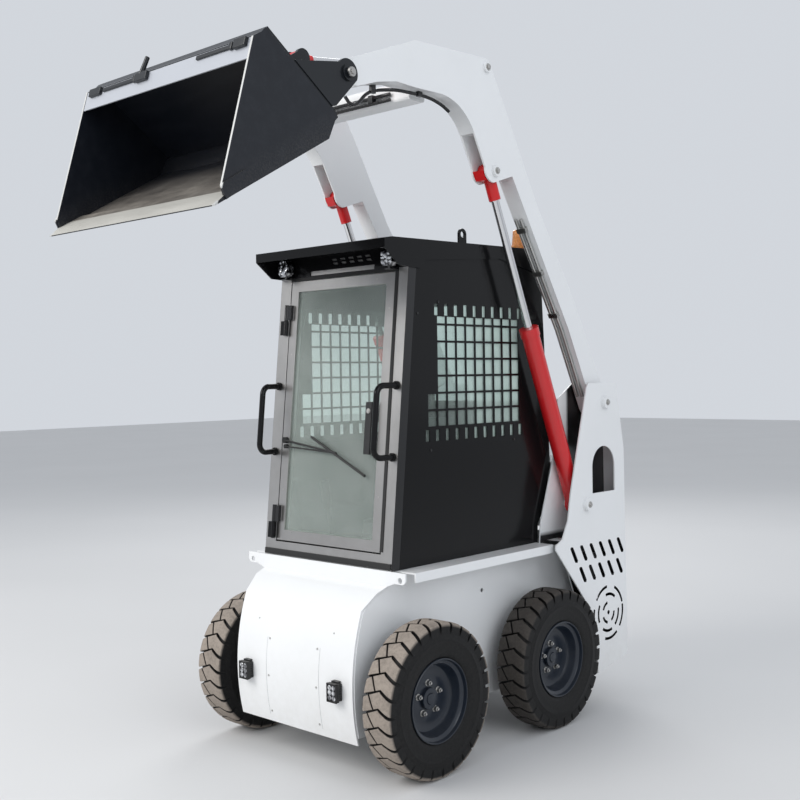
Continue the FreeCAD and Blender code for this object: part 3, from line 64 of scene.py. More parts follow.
# Places that the pieces are set out from, in metres. A pin is (y from the middle of the wheelbase, z).
SIDES = (("left", 1), ("right", -1))
MID_Y = (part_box("axle_front")[0].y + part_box("axle_rear")[1].y) / 2
AXLE_Z = (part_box("axle_front")[0].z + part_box("axle_front")[1].z) / 2
AXLE_Y = {end: (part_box("axle_" + end)[0].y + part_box("axle_" + end)[1].y) / 2 for end in ("front", "rear")}
TYRE_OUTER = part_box("tyre_front_left")[1].x
TYRE_WIDTH = TYRE_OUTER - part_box("tyre_front_left")[0].x
TYRE_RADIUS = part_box("tyre_front_left")[1].z - AXLE_Z
RIM_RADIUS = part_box("rim_front_left")[1].z - AXLE_Z
BOOM_PIVOT = (0.833, 1.386)
LIFT_FOOT = (0.677, 0.931)
LIFT_EYE = (0.075, 2.350)
TILT_FOOT = (0.024, 2.760)
TILT_EYE = (-0.898, 2.633)
COUPLER_PIN = (-0.777, 2.583)
LIFT_X = 0.4375
TILT_X = 0.357

# The cab's front face: how much it leans back, and one point on it
CAB_LEAN = 0.1065
CAB_FACE_Y = -0.464
CAB_FACE_Z = 0.799

# The bucket: its lip, how steeply its floor climbs to the heel, and its open mouth's top edge with the way
# down its front and the way out of it
LIP_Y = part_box("bucket")[0].y
LIP_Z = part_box("bucket")[0].z - 0.02
FLOOR_SLOPE = (2.338 - 2.081) / (1.331 - 0.876)
MOUTH_TOP = Vector((0.0, MID_Y - 1.206, 2.620))
MOUTH_DOWN = (Vector((0.0, MID_Y - 1.346, 2.124)) - MOUTH_TOP).normalized()
MOUTH_OUT = Vector((0.0, MOUTH_DOWN.z, -MOUTH_DOWN.y))


def at_pin(x, pin):
    return Vector((x, MID_Y + pin[0], pin[1]))


# Shaders


class Link:
    """A node's output that arithmetic works on: each operator adds a Math node."""

    def __init__(self, finish, socket):
        self.finish = finish
        self.socket = socket

    def math(self, operation, *others, clamp=False):
        inputs = dict(enumerate((self,) + others))
        return self.finish.add("ShaderNodeMath", {"operation": operation, "use_clamp": clamp}, inputs)

    def __add__(self, other):
        return self.math("ADD", other)

    def __sub__(self, other):
        return self.math("SUBTRACT", other)

    def __mul__(self, other):
        return self.math("MULTIPLY", other)

    def __pow__(self, other):
        return self.math("POWER", other)

    def __rsub__(self, other):
        return self.finish.add("ShaderNodeMath", {"operation": "SUBTRACT"}, {0: other, 1: self})

    def clip(self):
        return self.math("ADD", 0.0, clamp=True)

    def size(self):
        return self.math("ABSOLUTE")

    def ramp(self, low, high):
        """0 below low, 1 above high, straight between."""
        inputs = {"Value": self, "From Min": low, "From Max": high}
        return self.finish.add("ShaderNodeMapRange", {"clamp": True}, inputs)

    def past(self, edge, soft):
        """0 short of edge, 1 past it, with a border that is soft wide on each side."""
        return self.ramp(edge - soft, edge + soft)


class Finish:
    """A material built from nodes, with one Principled shader at its end."""

    def __init__(self, name, **constants):
        self.material = bpy.data.materials.new(name)
        self.material.use_nodes = True
        self.tree = self.material.node_tree
        self.shader = self.tree.nodes["Principled BSDF"]
        self.place = self.add("ShaderNodeTexCoord", {}, {}, "Object")
        self.normal = self.add("ShaderNodeTexCoord", {}, {}, "Normal")
        for socket, value in constants.items():
            self.shader.inputs[socket.replace("_", " ")].default_value = value

    def add(self, kind, settings, inputs, output=0):
        node = self.tree.nodes.new(kind)
        for name, value in settings.items():
            setattr(node, name, value)
        for name, value in inputs.items():
            socket = node.inputs[name]
            if isinstance(value, Link):
                self.tree.links.new(value.socket, socket)
            else:
                socket.default_value = value
        return Link(self, node.outputs[output])

    def axis(self, letter, source=None):
        return self.add("ShaderNodeSeparateXYZ", {}, {"Vector": source or self.place}, "XYZ".index(letter))

    def facing(self, letter):
        return self.axis(letter, self.normal)

    def stretch(self, x, y, z):
        return self.add("ShaderNodeMapping", {}, {"Vector": self.place, "Scale": (x, y, z)})

    def noise(self, scale, detail=3.0, rough=0.55, place=None):
        inputs = {"Vector": place or self.place, "Scale": scale, "Detail": detail, "Roughness": rough}
        return self.add("ShaderNodeTexNoise", {}, inputs)

    def cells(self, scale, feature="F1"):
        return self.add("ShaderNodeTexVoronoi", {"feature": feature}, {"Vector": self.place, "Scale": scale})

    def blend(self, factor, first, second):
        """Mix of two colours. The node's color sockets are its seventh and eighth."""
        return self.add("ShaderNodeMix", {"data_type": "RGBA"}, {0: factor, 6: first, 7: second}, 2)

    def attribute(self, name):
        return self.add("ShaderNodeAttribute", {"attribute_name": name}, {}, "Fac")

    def bump(self, height, strength, distance):
        inputs = {"Height": height, "Strength": strength, "Distance": distance}
        return self.add("ShaderNodeBump", {}, inputs)

    def feed(self, **links):
        for socket, link in links.items():
            self.tree.links.new(link.socket, self.shader.inputs[socket.replace("_", " ")])
        return self.material

    def upward(self):
        """1 on faces that look up, 0 on walls and undersides."""
        return self.facing("Z").ramp(0.55, 0.98)


def rgb(red, green, blue):
    return (red, green, blue, 1.0)


def darker(color, share):
    return rgb(*(c * share for c in color[:3]))


def enamel(name, color, dusty, roughness=0.3, coat=0.35, dust=0.16, grime_height=0.55, grime=0.4,
           gloss=0.5, painted_shade=None):
    """Sprayed enamel: faint orange peel, dust on what looks up, dirt splashed up to grime_height.

    The last argument is a mask of the parts painted near black as painted shade, in slots, recesses and gaps
    that lie in shadow.
    """
    paint = Finish(name, Coat_Roughness=0.08, Coat_Weight=coat, Specular_IOR_Level=gloss)
    broad = paint.noise(2.3, 4.0, 0.6)
    fine = paint.noise(38.0, 5.0, 0.65)
    speck = paint.noise(240.0, 2.0, 0.5).ramp(0.62, 0.8)
    low = 1.0 - paint.axis("Z").ramp(0.12, grime_height)
    splash = (low * (broad * 0.7 + fine * 0.5).ramp(0.35, 0.75) * grime).clip()
    film = (paint.upward() * (broad * 0.8 + fine * 0.35) * dust + speck * 0.05 + splash).clip()
    shade = paint.blend(broad.ramp(0.3, 0.7) * 0.5, color, darker(color, 0.93))
    peel = paint.noise(420.0, 1.0, 0.4)
    tone = paint.blend(film, shade, dusty)
    # Painted shade: the masked parts are painted near black where shade falls.
    if painted_shade:
        tone = paint.blend(painted_shade(paint), tone, rgb(0.006, 0.006, 0.007))
    return paint.feed(
        Base_Color=tone,
        Roughness=(film * 0.45 + fine * 0.06 + (roughness - 0.03)).clip(),
        Normal=paint.bump(peel, 0.05, 0.0006),
    )


BRUSHED = (1.0, 1.0, 0.03)


def steel(name, color, roughness, grain, along=(1.0, 1.0, 1.0), painted=None):
    """Ground or brushed steel with a grain drawn out along one way, and dull patches.

    painted is a mask of the parts that are painted black.
    """
    metal = Finish(name, Metallic=1.0)
    lines = metal.noise(grain, 3.0, 0.6, metal.stretch(*along))
    patch = metal.noise(5.0, 4.0, 0.6)
    tone = metal.blend(patch.ramp(0.35, 0.7), color, darker(color, 0.82))
    rough = lines * 0.16 + patch * 0.14 + (roughness - 0.12)
    if painted:
        black = painted(metal)
        tone = metal.blend(black, tone, rgb(0.010, 0.010, 0.011))
        rough = rough * (1.0 - black) + black * 0.22
        metal.feed(Metallic=1.0 - black)
    return metal.feed(
        Base_Color=tone,
        Roughness=rough.clip(),
        Normal=metal.bump(lines, 0.06, 0.0004),
    )


# Masks, with the places where they end

POST_OUTER_X = 0.3685
HINGE_LEAF = 0.0022
# Below this height, and behind this point, the tower's gaps carry painted shade
TOWER_SHADE_Z = 0.81
TOWER_SHADE_Y = MID_Y + 0.69
TOWER_PLATE_X = 0.490
FAN_Y = MID_Y + 0.852
FAN_Z = 0.415
FAN_REACH = 0.1295
LOUVRE_FOOT, LOUVRE_HEAD = 0.5405, 0.7575
LOUVRE_BACK = 0.1505
LOUVRE_SLANT = 1.127
LOUVRE_FRONT = 0.29525
KNEE_Y = MID_Y + 0.13


def outer_corners(finish):
    """1 on the cab posts' outer sides."""
    return finish.axis("X").size().past(POST_OUTER_X, 0.0003)


def proud_of_face(finish):
    """1 on what stands more than 2 mm in front of the cab's leaning face, such as the hinges' leaves."""
    before = finish.axis("Z") * CAB_LEAN - finish.axis("Y") + (MID_Y + CAB_FACE_Y - CAB_FACE_Z * CAB_LEAN)
    return before.past(HINGE_LEAF, 0.0002)


def inside_tower(finish):
    """1 on the inner plates' outward faces, low down and behind the lift cylinders, which are painted near
    black as painted shade in the gap between the tower's plates.
    """
    outward = (finish.facing("X") * finish.axis("X").math("SIGN")).ramp(0.4, 0.6)
    low = 1.0 - finish.axis("Z").past(TOWER_SHADE_Z, 0.01)
    behind = finish.axis("Y").past(TOWER_SHADE_Y, 0.01)
    return outward * (low + behind).clip()


def cut_walls(finish):
    """1 on the walls of the louvres and the fan guard's slots, and on the webs that show through them, which
    are painted near black as painted shade inside the slots.
    """
    wall = 1.0 - finish.facing("X").size().ramp(0.3, 0.5)
    plate = finish.axis("X").size().past(TOWER_PLATE_X, 0.0005)
    y, z = finish.axis("Y") - FAN_Y, finish.axis("Z")
    fan = 1.0 - ((y * y + (z - FAN_Z) * (z - FAN_Z)) ** 0.5).past(FAN_REACH, 0.0005)
    rows = z.past(LOUVRE_FOOT, 0.0005) * (1.0 - z.past(LOUVRE_HEAD, 0.0005))
    louvres = rows * (1.0 - y.past(LOUVRE_BACK, 0.0005)) * (z + y * LOUVRE_SLANT).past(LOUVRE_FRONT, 0.00025)
    forward = 1.0 - finish.facing("Y").ramp(-0.5, -0.3)
    webs = forward * (1.0 - plate) * (1.0 - z.past(TOWER_SHADE_Z, 0.01))
    return (wall * plate * (fan + louvres) + webs).clip()


def before_knee(finish):
    """1 on the hoses, 0 on the steel pipes down the back of the arms."""
    return 1.0 - finish.axis("Y").past(KNEE_Y, 0.01)


def rubber(name):
    """Tyre rubber: the tread's tops carry dust from the attribute "dust"."""
    tyre = Finish(name, Specular_IOR_Level=0.22)
    dust = tyre.attribute("dust")
    broad = tyre.noise(9.0, 5.0, 0.65)
    fine = tyre.noise(90.0, 4.0, 0.6)
    worn = (dust * (broad * 0.8 + fine * 0.8 + 0.1)).clip()
    black = tyre.blend(fine.ramp(0.35, 0.7), rgb(0.007, 0.007, 0.0075), rgb(0.016, 0.0155, 0.015))
    return tyre.feed(
        Base_Color=tyre.blend(worn, black, rgb(0.32, 0.275, 0.235)),
        Roughness=(worn * 0.3 + fine * 0.12 + 0.5).clip(),
        Normal=tyre.bump(tyre.noise(300.0, 3.0, 0.6), 0.25, 0.0008),
    )


def plastic(name, color, roughness, dust):
    """Moulded plastic or rubber with a fine grain and a little dust."""
    moulded = Finish(name)
    fine = moulded.noise(60.0, 4.0, 0.6)
    film = (moulded.upward() * fine * dust * 4.0 + fine.ramp(0.6, 0.8) * dust).clip()
    return moulded.feed(
        Base_Color=moulded.blend(film, color, rgb(0.3, 0.28, 0.25)),
        Roughness=(fine * 0.15 + (roughness - 0.06)).clip(),
        Normal=moulded.bump(moulded.noise(500.0, 2.0, 0.5), 0.12, 0.0005),
    )


BUCKET_WALL_X = 0.480
EDGE_PLATE = 0.085


def worn_blade(name):
    """Bucket paint, rubbed through to bare and rusty steel on the floor and the cutting edge, with a bright
    line along the side plates' front edges that is rubbed steel and a painted highlight.
    """
    blade = Finish(name, Specular_IOR_Level=0.4)
    broad = blade.noise(5.0, 5.0, 0.65)
    streak = blade.noise(16.0, 5.0, 0.7, blade.stretch(0.25, 1.4, 1.4))
    speck = blade.noise(150.0, 3.0, 0.6)
    x, y, z = blade.axis("X").size(), blade.axis("Y"), blade.axis("Z")
    # Height above the floor plate, which climbs from the lip to the heel, and distance back from the lip
    above_floor = z - (y - LIP_Y) * FLOOR_SLOPE - LIP_Z
    depth = y - LIP_Y
    near_floor = 1.0 - above_floor.ramp(0.02, 0.12)
    inside = blade.facing("Z").ramp(0.25, 0.6)
    worn = 1.0 - depth.ramp(0.12, 0.44)
    scraped = near_floor * inside * worn * (streak * 1.5 + broad * 0.6 - 0.15)
    bare = (scraped + near_floor * (speck - 0.42) * 0.5).clip()
    edge = inside * (1.0 - depth.past(EDGE_PLATE, 0.003)) * (1.0 - above_floor.ramp(0.035, 0.06))
    # Bright line along the side plates' front edges: rubbed steel, and a painted highlight along the edge
    before_mouth = y * MOUTH_OUT.y + z * MOUTH_OUT.z - MOUTH_TOP.dot(MOUTH_OUT)
    rubbed_and_highlight = x.past(BUCKET_WALL_X, 0.002) * before_mouth.past(-0.0012, 0.0004)
    rust = blade.blend((broad * 1.6 - 0.35).clip(), rgb(0.11, 0.095, 0.08), rgb(0.37, 0.34, 0.30))
    rust = blade.blend((edge * (streak * 0.5 + 0.6)).clip(), rust, rgb(0.55, 0.54, 0.50))
    rust = blade.blend(rubbed_and_highlight, rust, rgb(0.55, 0.55, 0.54))
    paint = blade.blend(streak.ramp(0.45, 0.8) * 0.3, rgb(0.007, 0.009, 0.014), rgb(0.028, 0.032, 0.040))
    metal = (bare + edge * 0.8 + rubbed_and_highlight).clip()
    return blade.feed(
        Base_Color=blade.blend(metal, paint, rust),
        Metallic=metal * 0.35,
        Roughness=(metal * 0.2 + streak * 0.2 + 0.26).clip(),
        Normal=blade.bump(streak + speck * 0.4, 0.12, 0.001),
    )


def rod_chrome(name, eye, foot, red_length):
    """Chromed rod with a red painted end: red within red_length of the eye."""
    chrome = Finish(name)
    along = (foot - eye).normalized()
    apart = chrome.add("ShaderNodeVectorMath", {"operation": "SUBTRACT"}, {0: chrome.place, 1: eye})
    reach = chrome.add("ShaderNodeVectorMath", {"operation": "DOT_PRODUCT"}, {0: apart, 1: along}, "Value")
    red = 1.0 - reach.past(red_length, 0.0005)
    fine = chrome.noise(70.0, 4.0, 0.6)
    return chrome.feed(
        Base_Color=chrome.blend(red, rgb(0.72, 0.72, 0.73), rgb(0.62, 0.012, 0.014)),
        Metallic=1.0 - red,
        Roughness=(red * 0.22 + fine * 0.1 + 0.06).clip(),
        Normal=chrome.bump(fine, 0.03, 0.0004),
    )


def pane(name, tint, haze_and_reflection):
    """Safety glass: see-through with a tint, mirror-like at a slant, a faint film of dust, and an even pale
    film set by the last argument, which is partly dust and partly a painted reflection of bright surroundings.
    """
    glass = Finish(name, Roughness=0.04, IOR=1.5)
    film = glass.noise(6.0, 5.0, 0.6).ramp(0.35, 0.8)
    clear = glass.add("ShaderNodeBsdfTransparent", {}, {"Color": tint})
    sheen = glass.add("ShaderNodeLayerWeight", {}, {"Blend": 0.22}, "Fresnel")
    # The even term mixes in a pale film everywhere: partly dust, partly a painted reflection of bright
    # surroundings.
    factor = (sheen * 0.75 + film * 0.03 + haze_and_reflection).clip()
    shaders = {0: factor, 1: clear, 2: Link(glass, glass.shader.outputs[0])}
    mixed = glass.add("ShaderNodeMixShader", {}, shaders)
    glass.tree.links.new(mixed.socket, glass.tree.nodes["Material Output"].inputs["Surface"])
    # Pale greenish colours that the film shows: dust, and the painted reflection.
    return glass.feed(Base_Color=glass.blend(film, rgb(0.70, 0.77, 0.73), rgb(0.80, 0.85, 0.82)))


def lens(name, color, alpha):
    """Coloured moulded lens with ribs, painted lighter on the ribs as a painted highlight."""
    cover = Finish(name, Coat_Weight=0.8, Specular_IOR_Level=0.8)
    ribs = cover.noise(160.0, 1.0, 0.3)
    # Painted highlight: the ribs take a lighter colour, as if lit
    lit = rgb(*(min(1.0, c * 1.35 + 0.05) for c in color[:3]))
    return cover.feed(
        Base_Color=cover.blend(ribs.ramp(0.3, 0.7), color, lit),
        Roughness=ribs * 0.2 + 0.05,
        Alpha=ribs * 0.1 + alpha,
        Normal=cover.bump(ribs, 0.2, 0.001),
    )


def reflector(name, black_below):
    """Faceted chrome behind clear glass, each facet painted bright in its middle and dark towards its rim as a
    painted reflection, with its stem and bracket black below a height.
    """
    bowl = Finish(name, Coat_Weight=0.9)
    facet = bowl.cells(62.0)
    pits = bowl.noise(120.0, 2.0, 0.4)
    black = 1.0 - bowl.axis("Z").past(black_below + 0.0003, 0.0003)
    # Painted reflection: bright in each facet's middle, dark towards its rim
    tone = bowl.blend(facet.ramp(0.25, 0.75), rgb(0.82, 0.83, 0.85), rgb(0.10, 0.10, 0.11))
    return bowl.feed(
        Base_Color=bowl.blend(black, tone, rgb(0.010, 0.010, 0.010)),
        Metallic=(1.0 - black) * 0.95,
        Roughness=(pits * 0.12 + black * 0.3 + 0.04).clip(),
        Normal=bowl.bump(facet, 0.9, 0.004),
    )


def vinyl(name):
    """Seat cover: fine leather grain with creases."""
    cover = Finish(name)
    grain = cover.cells(520.0, feature="DISTANCE_TO_EDGE")
    crease = cover.noise(14.0, 4.0, 0.6)
    return cover.feed(
        Base_Color=cover.blend(crease.ramp(0.3, 0.75), rgb(0.018, 0.018, 0.019), rgb(0.035, 0.034, 0.033)),
        Roughness=crease * 0.2 + 0.38,
        Normal=cover.bump(grain.ramp(0.0, 0.2) + crease * 0.8, 0.3, 0.0008),
    )


DUST = rgb(0.45, 0.41, 0.35)
WHITE = rgb(0.85, 0.86, 0.865)
WORK_LAMP_FOOT = 1.9486
FINISH = {
    "white_paint": enamel("white_enamel", WHITE, DUST, dust=0.08, grime=0.22),
    # The tower plates are white, painted near black as painted shade in their slots, louvres and the gaps
    # between the plates.
    "tower_paint": enamel("tower_enamel", WHITE, DUST, dust=0.08, grime=0.22, painted_shade=inside_tower),
    "cut_paint": enamel("louvre_enamel", WHITE, DUST, dust=0.08, grime=0.22, painted_shade=cut_walls),
    "black_panel": enamel("black_enamel", rgb(0.006, 0.006, 0.0065), rgb(0.12, 0.115, 0.11), roughness=0.16,
                          coat=0.10, dust=0.04, grime_height=0.8, grime=0.04, gloss=0.16),
    "post_steel": steel("post_stainless", rgb(0.46, 0.45, 0.44), 0.3, 260.0, BRUSHED, outer_corners),
    "door_steel": steel("door_stainless", rgb(0.44, 0.43, 0.42), 0.3, 260.0, BRUSHED, proud_of_face),
    "galvanised": steel("galvanised", rgb(0.6, 0.61, 0.62), 0.4, 40.0),
    "bare_steel": steel("worn_steel", rgb(0.55, 0.54, 0.52), 0.32, 90.0),
    "bucket_paint": worn_blade("worn_bucket"),
    "coupler_paint": enamel("coupler_enamel", rgb(0.009, 0.011, 0.014), rgb(0.2, 0.19, 0.17), coat=0.12,
                            dust=0.12, gloss=0.35),
    "red_paint": enamel("red_enamel", rgb(0.62, 0.010, 0.014), DUST, roughness=0.24, coat=0.45, dust=0.06),
    "tyre_rubber": rubber("tyre_rubber"),
    "rim_paint": enamel("rim_enamel", rgb(0.009, 0.015, 0.026), rgb(0.12, 0.11, 0.10), coat=0.25, dust=0.10,
                        grime_height=0.7, grime=0.06, gloss=0.4),
    # The door glass takes the stronger pale film, a painted reflection of bright surroundings as well as dust.
    "door_pane": pane("door_glass_tint", rgb(0.94, 0.975, 0.955), 0.16),
    "side_pane": pane("side_glass_tint", rgb(0.90, 0.95, 0.93), 0.03),
    "black_plastic": plastic("black_plastic", rgb(0.010, 0.010, 0.0105), 0.42, dust=0.05),
    "black_rubber": plastic("black_rubber", rgb(0.008, 0.008, 0.008), 0.55, dust=0.04),
    "work_lamp": reflector("work_lamp", WORK_LAMP_FOOT),
    "front_lamp": reflector("front_lamp", 0.0),
    "amber": lens("amber_lens", rgb(0.75, 0.24, 0.01), 0.85),
    "seat_cover": vinyl("black_vinyl"),
    "pipe_paint": steel("pipe_steel", rgb(0.55, 0.55, 0.53), 0.25, 30.0, painted=before_knee),
    "cast_iron": enamel("casting_paint", rgb(0.03, 0.03, 0.032), rgb(0.25, 0.22, 0.18), roughness=0.5,
                        coat=0.0, dust=0.3),
    "strip_paint": enamel("strip_enamel", rgb(0.42, 0.44, 0.48), DUST, roughness=0.35, coat=0.2, dust=0.05),
}

# Pieces


def place_piece(name, mesh, body, finish, stands_for=(), smooth=30.0):
    obj = bpy.data.objects.new(name, mesh)
    bpy.context.scene.collection.objects.link(obj)
    mesh.materials.append(finish)
    mesh.shade_smooth()
    mesh.set_sharp_from_angle(angle=math.radians(smooth))
    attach(obj, body)
    if stands_for:
        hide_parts(*stands_for)
    return obj


def finish_mesh(bm, name, outward=True):
    bmesh.ops.remove_doubles(bm, verts=bm.verts, dist=1e-6)
    if outward:
        bmesh.ops.recalc_face_normals(bm, faces=bm.faces)
    mesh = bpy.data.meshes.new(name)
    bm.to_mesh(mesh)
    bm.free()
    return mesh


def weighted(obj):
    modifier = obj.modifiers.new("Even normals", "WEIGHTED_NORMAL")
    modifier.keep_sharp = True


def fitted(name, bm, body, finish_name, stands_for=()):
    mesh = finish_mesh(bm, name)
    weighted(place_piece(name, mesh, body, FINISH[finish_name], stands_for))


def ease(bm, edges, offset, segments=2):
    """Rounds edges off."""
    bmesh.ops.bevel(bm, geom=edges, offset=offset, offset_type="OFFSET", segments=segments, profile=0.5,
                    affect="EDGES", clamp_overlap=True, material=-1)


def edges_among(bm, verts, sharper_than=0.0):
    """Edges that belong to verts and turn by more than an angle in degrees."""
    chosen = set(verts)
    return [e for e in bm.edges
            if e.verts[0] in chosen and e.calc_face_angle(0.0) >= math.radians(sharper_than)]


def extrude_by(bm, way):
    """Thickens all of bm's faces by a move along way."""
    made = bmesh.ops.extrude_face_region(bm, geom=list(bm.faces))["geom"]
    bmesh.ops.translate(bm, vec=way, verts=[g for g in made if isinstance(g, bmesh.types.BMVert)])


def cut_across(bm, place, way):
    bmesh.ops.bisect_plane(bm, geom=list(bm.verts) + list(bm.edges) + list(bm.faces), dist=1e-6,
                           plane_co=place, plane_no=way)


def dress(node, finish, rounding):
    """The CAD node's own shape with its edges eased, so that they catch the light."""
    source = frame["nodes"][node]
    bm = bmesh.new()
    bm.from_mesh(source.data)
    bmesh.ops.remove_doubles(bm, verts=bm.verts, dist=2e-6)
    bmesh.ops.dissolve_limit(bm, angle_limit=math.radians(1.0), verts=bm.verts, edges=bm.edges)
    if rounding:
        sharp = [e for e in bm.edges if e.is_manifold and e.calc_face_angle(0.0) > math.radians(32)]
        ease(bm, sharp, rounding)
    mesh = finish_mesh(bm, node + "_shape", outward=False)
    weighted(place_piece(node + "_finished", mesh, source["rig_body"], finish, [node], 35.0))


def spin_profile(points, centre, steps):
    """Closed ring turned about an axle along X: points are (x, radius)."""
    bm = bmesh.new()
    verts = [bm.verts.new((x, centre.y, centre.z + radius)) for x, radius in points]
    edges = [bm.edges.new((verts[i], verts[(i + 1) % len(verts)])) for i in range(len(verts))]
    bmesh.ops.spin(bm, geom=verts + edges, cent=centre, axis=(1, 0, 0), angle=math.tau, steps=steps,
                   use_merge=True, use_duplicate=False)
    return bm


def block(bm, low, high, rounding=0.0, segments=2):
    """Box between two corners with rounded edges, added to bm."""
    made = bmesh.ops.create_cube(bm, size=1.0)["verts"]
    low, high = Vector(low), Vector(high)
    bmesh.ops.scale(bm, vec=high - low, verts=made)
    bmesh.ops.translate(bm, vec=(low + high) / 2, verts=made)
    if rounding:
        ease(bm, edges_among(bm, made), rounding, segments)


def turned(bm, start, end, radius, segments=24, tip=None, rounding=0.0):
    """Round bar from start to end, added to bm; tip is the radius at its end."""
    start, end = Vector(start), Vector(end)
    along = end - start
    made = bmesh.ops.create_cone(bm, cap_ends=True, segments=segments, radius1=radius,
                                 radius2=radius if tip is None else tip, depth=along.length)["verts"]
    turn = Vector((0, 0, 1)).rotation_difference(along).to_matrix()
    bmesh.ops.rotate(bm, cent=(0, 0, 0), matrix=turn, verts=made)
    bmesh.ops.translate(bm, vec=(start + end) / 2, verts=made)
    if rounding:
        ease(bm, edges_among(bm, made, 50), rounding)


# Tyres

PITCHES = 28
GROOVE = 0.0030
GROOVE_DEPTH = 0.011
BLOCK_ROUNDING = 0.0022
# The outer walls of the blocks stand flush with the tyre's sides once the grooves' halves are taken off
SIDE = (GROOVE - 0.0012) / TYRE_WIDTH
# Corners of the two blocks in one pitch: (share of the width, share of a pitch)
LEFT_BLOCK = [(-SIDE, 0.0), (0.45, 0.30), (0.22, 1.12), (-SIDE, 0.94)]
RIGHT_BLOCK = [(0.45, 0.30), (0.62, 0.42), (1 + SIDE, 0.0), (1 + SIDE, 0.90), (0.66, 1.30), (0.60, 1.42),
               (0.45, 1.30), (0.22, 1.12)]
# Half of the tyre's section from the rim to the shoulder: (share of the width from the middle, radius)
TREAD_FLOOR = TYRE_RADIUS - GROOVE_DEPTH
HALF_SECTION = [
    (0.395, RIM_RADIUS + 0.0003), (0.440, 0.168), (0.462, 0.176), (0.464, 0.180), (0.472, 0.186),
    (0.486, 0.206), (0.492, 0.224), (0.4985, 0.2265), (0.4985, 0.2295), (0.492, 0.232), (0.488, 0.242),
    (0.470, 0.254), (0.430, TREAD_FLOOR - 0.010), (0.36, TREAD_FLOOR - 0.004),
]
# The front tyres' tread is pale with dust, the rear tyres' nearly clean
TREAD_DUST = {"front": 1.0, "rear": 0.15}


def tread_blocks(inner_x, pitch):
    """One pitch's blocks laid flat: X across, Y along the tread, Z up from the groove's floor."""
    bm = bmesh.new()
    for corners in (LEFT_BLOCK, RIGHT_BLOCK):
        face = bm.faces.new([bm.verts.new((inner_x + TYRE_WIDTH * u, pitch * v, 0.0)) for u, v in corners])
        bm.normal_update()
        bmesh.ops.inset_individual(bm, faces=[face], thickness=GROOVE, use_even_offset=True)
        rim = [f for f in bm.faces if f is not face and any(e in f.edges for e in face.edges)]
        bmesh.ops.delete(bm, geom=rim, context="FACES_ONLY")
        loose = [e for e in bm.edges if not e.link_faces]
        bmesh.ops.delete(bm, geom=loose, context="EDGES")
        for v in [v for v in bm.verts if not v.link_edges]:
            bm.verts.remove(v)
    extrude_by(bm, (0, 0, GROOVE_DEPTH))
    bmesh.ops.recalc_face_normals(bm, faces=bm.faces)
    ease(bm, [e for e in bm.edges if min(v.co.z for v in e.verts) > GROOVE_DEPTH - 1e-5], BLOCK_ROUNDING)
    for cut in range(1, 9):
        cut_across(bm, (0, pitch * cut / 6, 0), (0, 1, 0))
    for share in (0.06, 0.14, 0.86, 0.94):
        cut_across(bm, (inner_x + TYRE_WIDTH * share, 0, 0), (1, 0, 0))
    return bm


def beyond(share, start):
    """How far share has gone from start to 1, and 0 before start."""
    return max(0.0, (share - start) / (1 - start))


def wrap_tyre(corner, side, centre, dusty):
    """Tyre with its blocks wrapped round: their ends reach down the shoulders as teeth."""
    inner_x = TYRE_OUTER - TYRE_WIDTH if side > 0 else -TYRE_OUTER
    half_width = TYRE_WIDTH / 2
    middle = inner_x + half_width
    pitch = math.tau * TYRE_RADIUS / PITCHES
    flat = tread_blocks(inner_x, pitch)
    pattern = bpy.data.meshes.new("pattern")
    flat.to_mesh(pattern)
    flat.free()
    section = [(middle - share * TYRE_WIDTH, radius) for share, radius in HALF_SECTION]
    section += [(middle + share * TYRE_WIDTH, radius) for share, radius in reversed(HALF_SECTION)]
    bm = spin_profile(section, centre, 112)
    dusts = [0.0] * len(bm.verts)
    for count in range(PITCHES):
        before = len(bm.verts)
        bm.from_mesh(pattern)
        bm.verts.ensure_lookup_table()
        for vert in bm.verts[before:]:
            share = abs(vert.co.x - middle) / half_width
            height = vert.co.z / GROOVE_DEPTH
            dusts.append(dusty * max(0.0, min(1.0, (height - 0.86) / 0.12)))
            # The crown falls away a little to the shoulders, and the blocks' feet reach down over them
            drop = 0.009 * beyond(share, 0.62) ** 2
            reach = 0.034 * beyond(share, 0.86) * (1.0 - height)
            radius = TYRE_RADIUS - (1.0 - height) * (GROOVE_DEPTH + 0.006) - drop - reach
            inward = 0.0030 * beyond(share, 0.9) * (1.0 - height)
            across = min(abs(vert.co.x - middle), half_width - 0.0004) - inward
            vert.co.x = middle + math.copysign(across, vert.co.x - middle)
            angle = (vert.co.y / pitch + count) * math.tau / PITCHES
            vert.co.y = centre.y - math.cos(angle) * radius
            vert.co.z = centre.z + math.sin(angle) * radius
    bpy.data.meshes.remove(pattern)
    layer = bm.verts.layers.float.new("dust")
    bm.verts.ensure_lookup_table()
    for vert, dust in zip(bm.verts, dusts):
        vert[layer] = dust
    name = "tyre_" + corner + "_tread"
    place_piece(name, finish_mesh(bm, name), "wheel_" + corner, FINISH["tyre_rubber"],
                ["tyre_" + corner], 32.0)


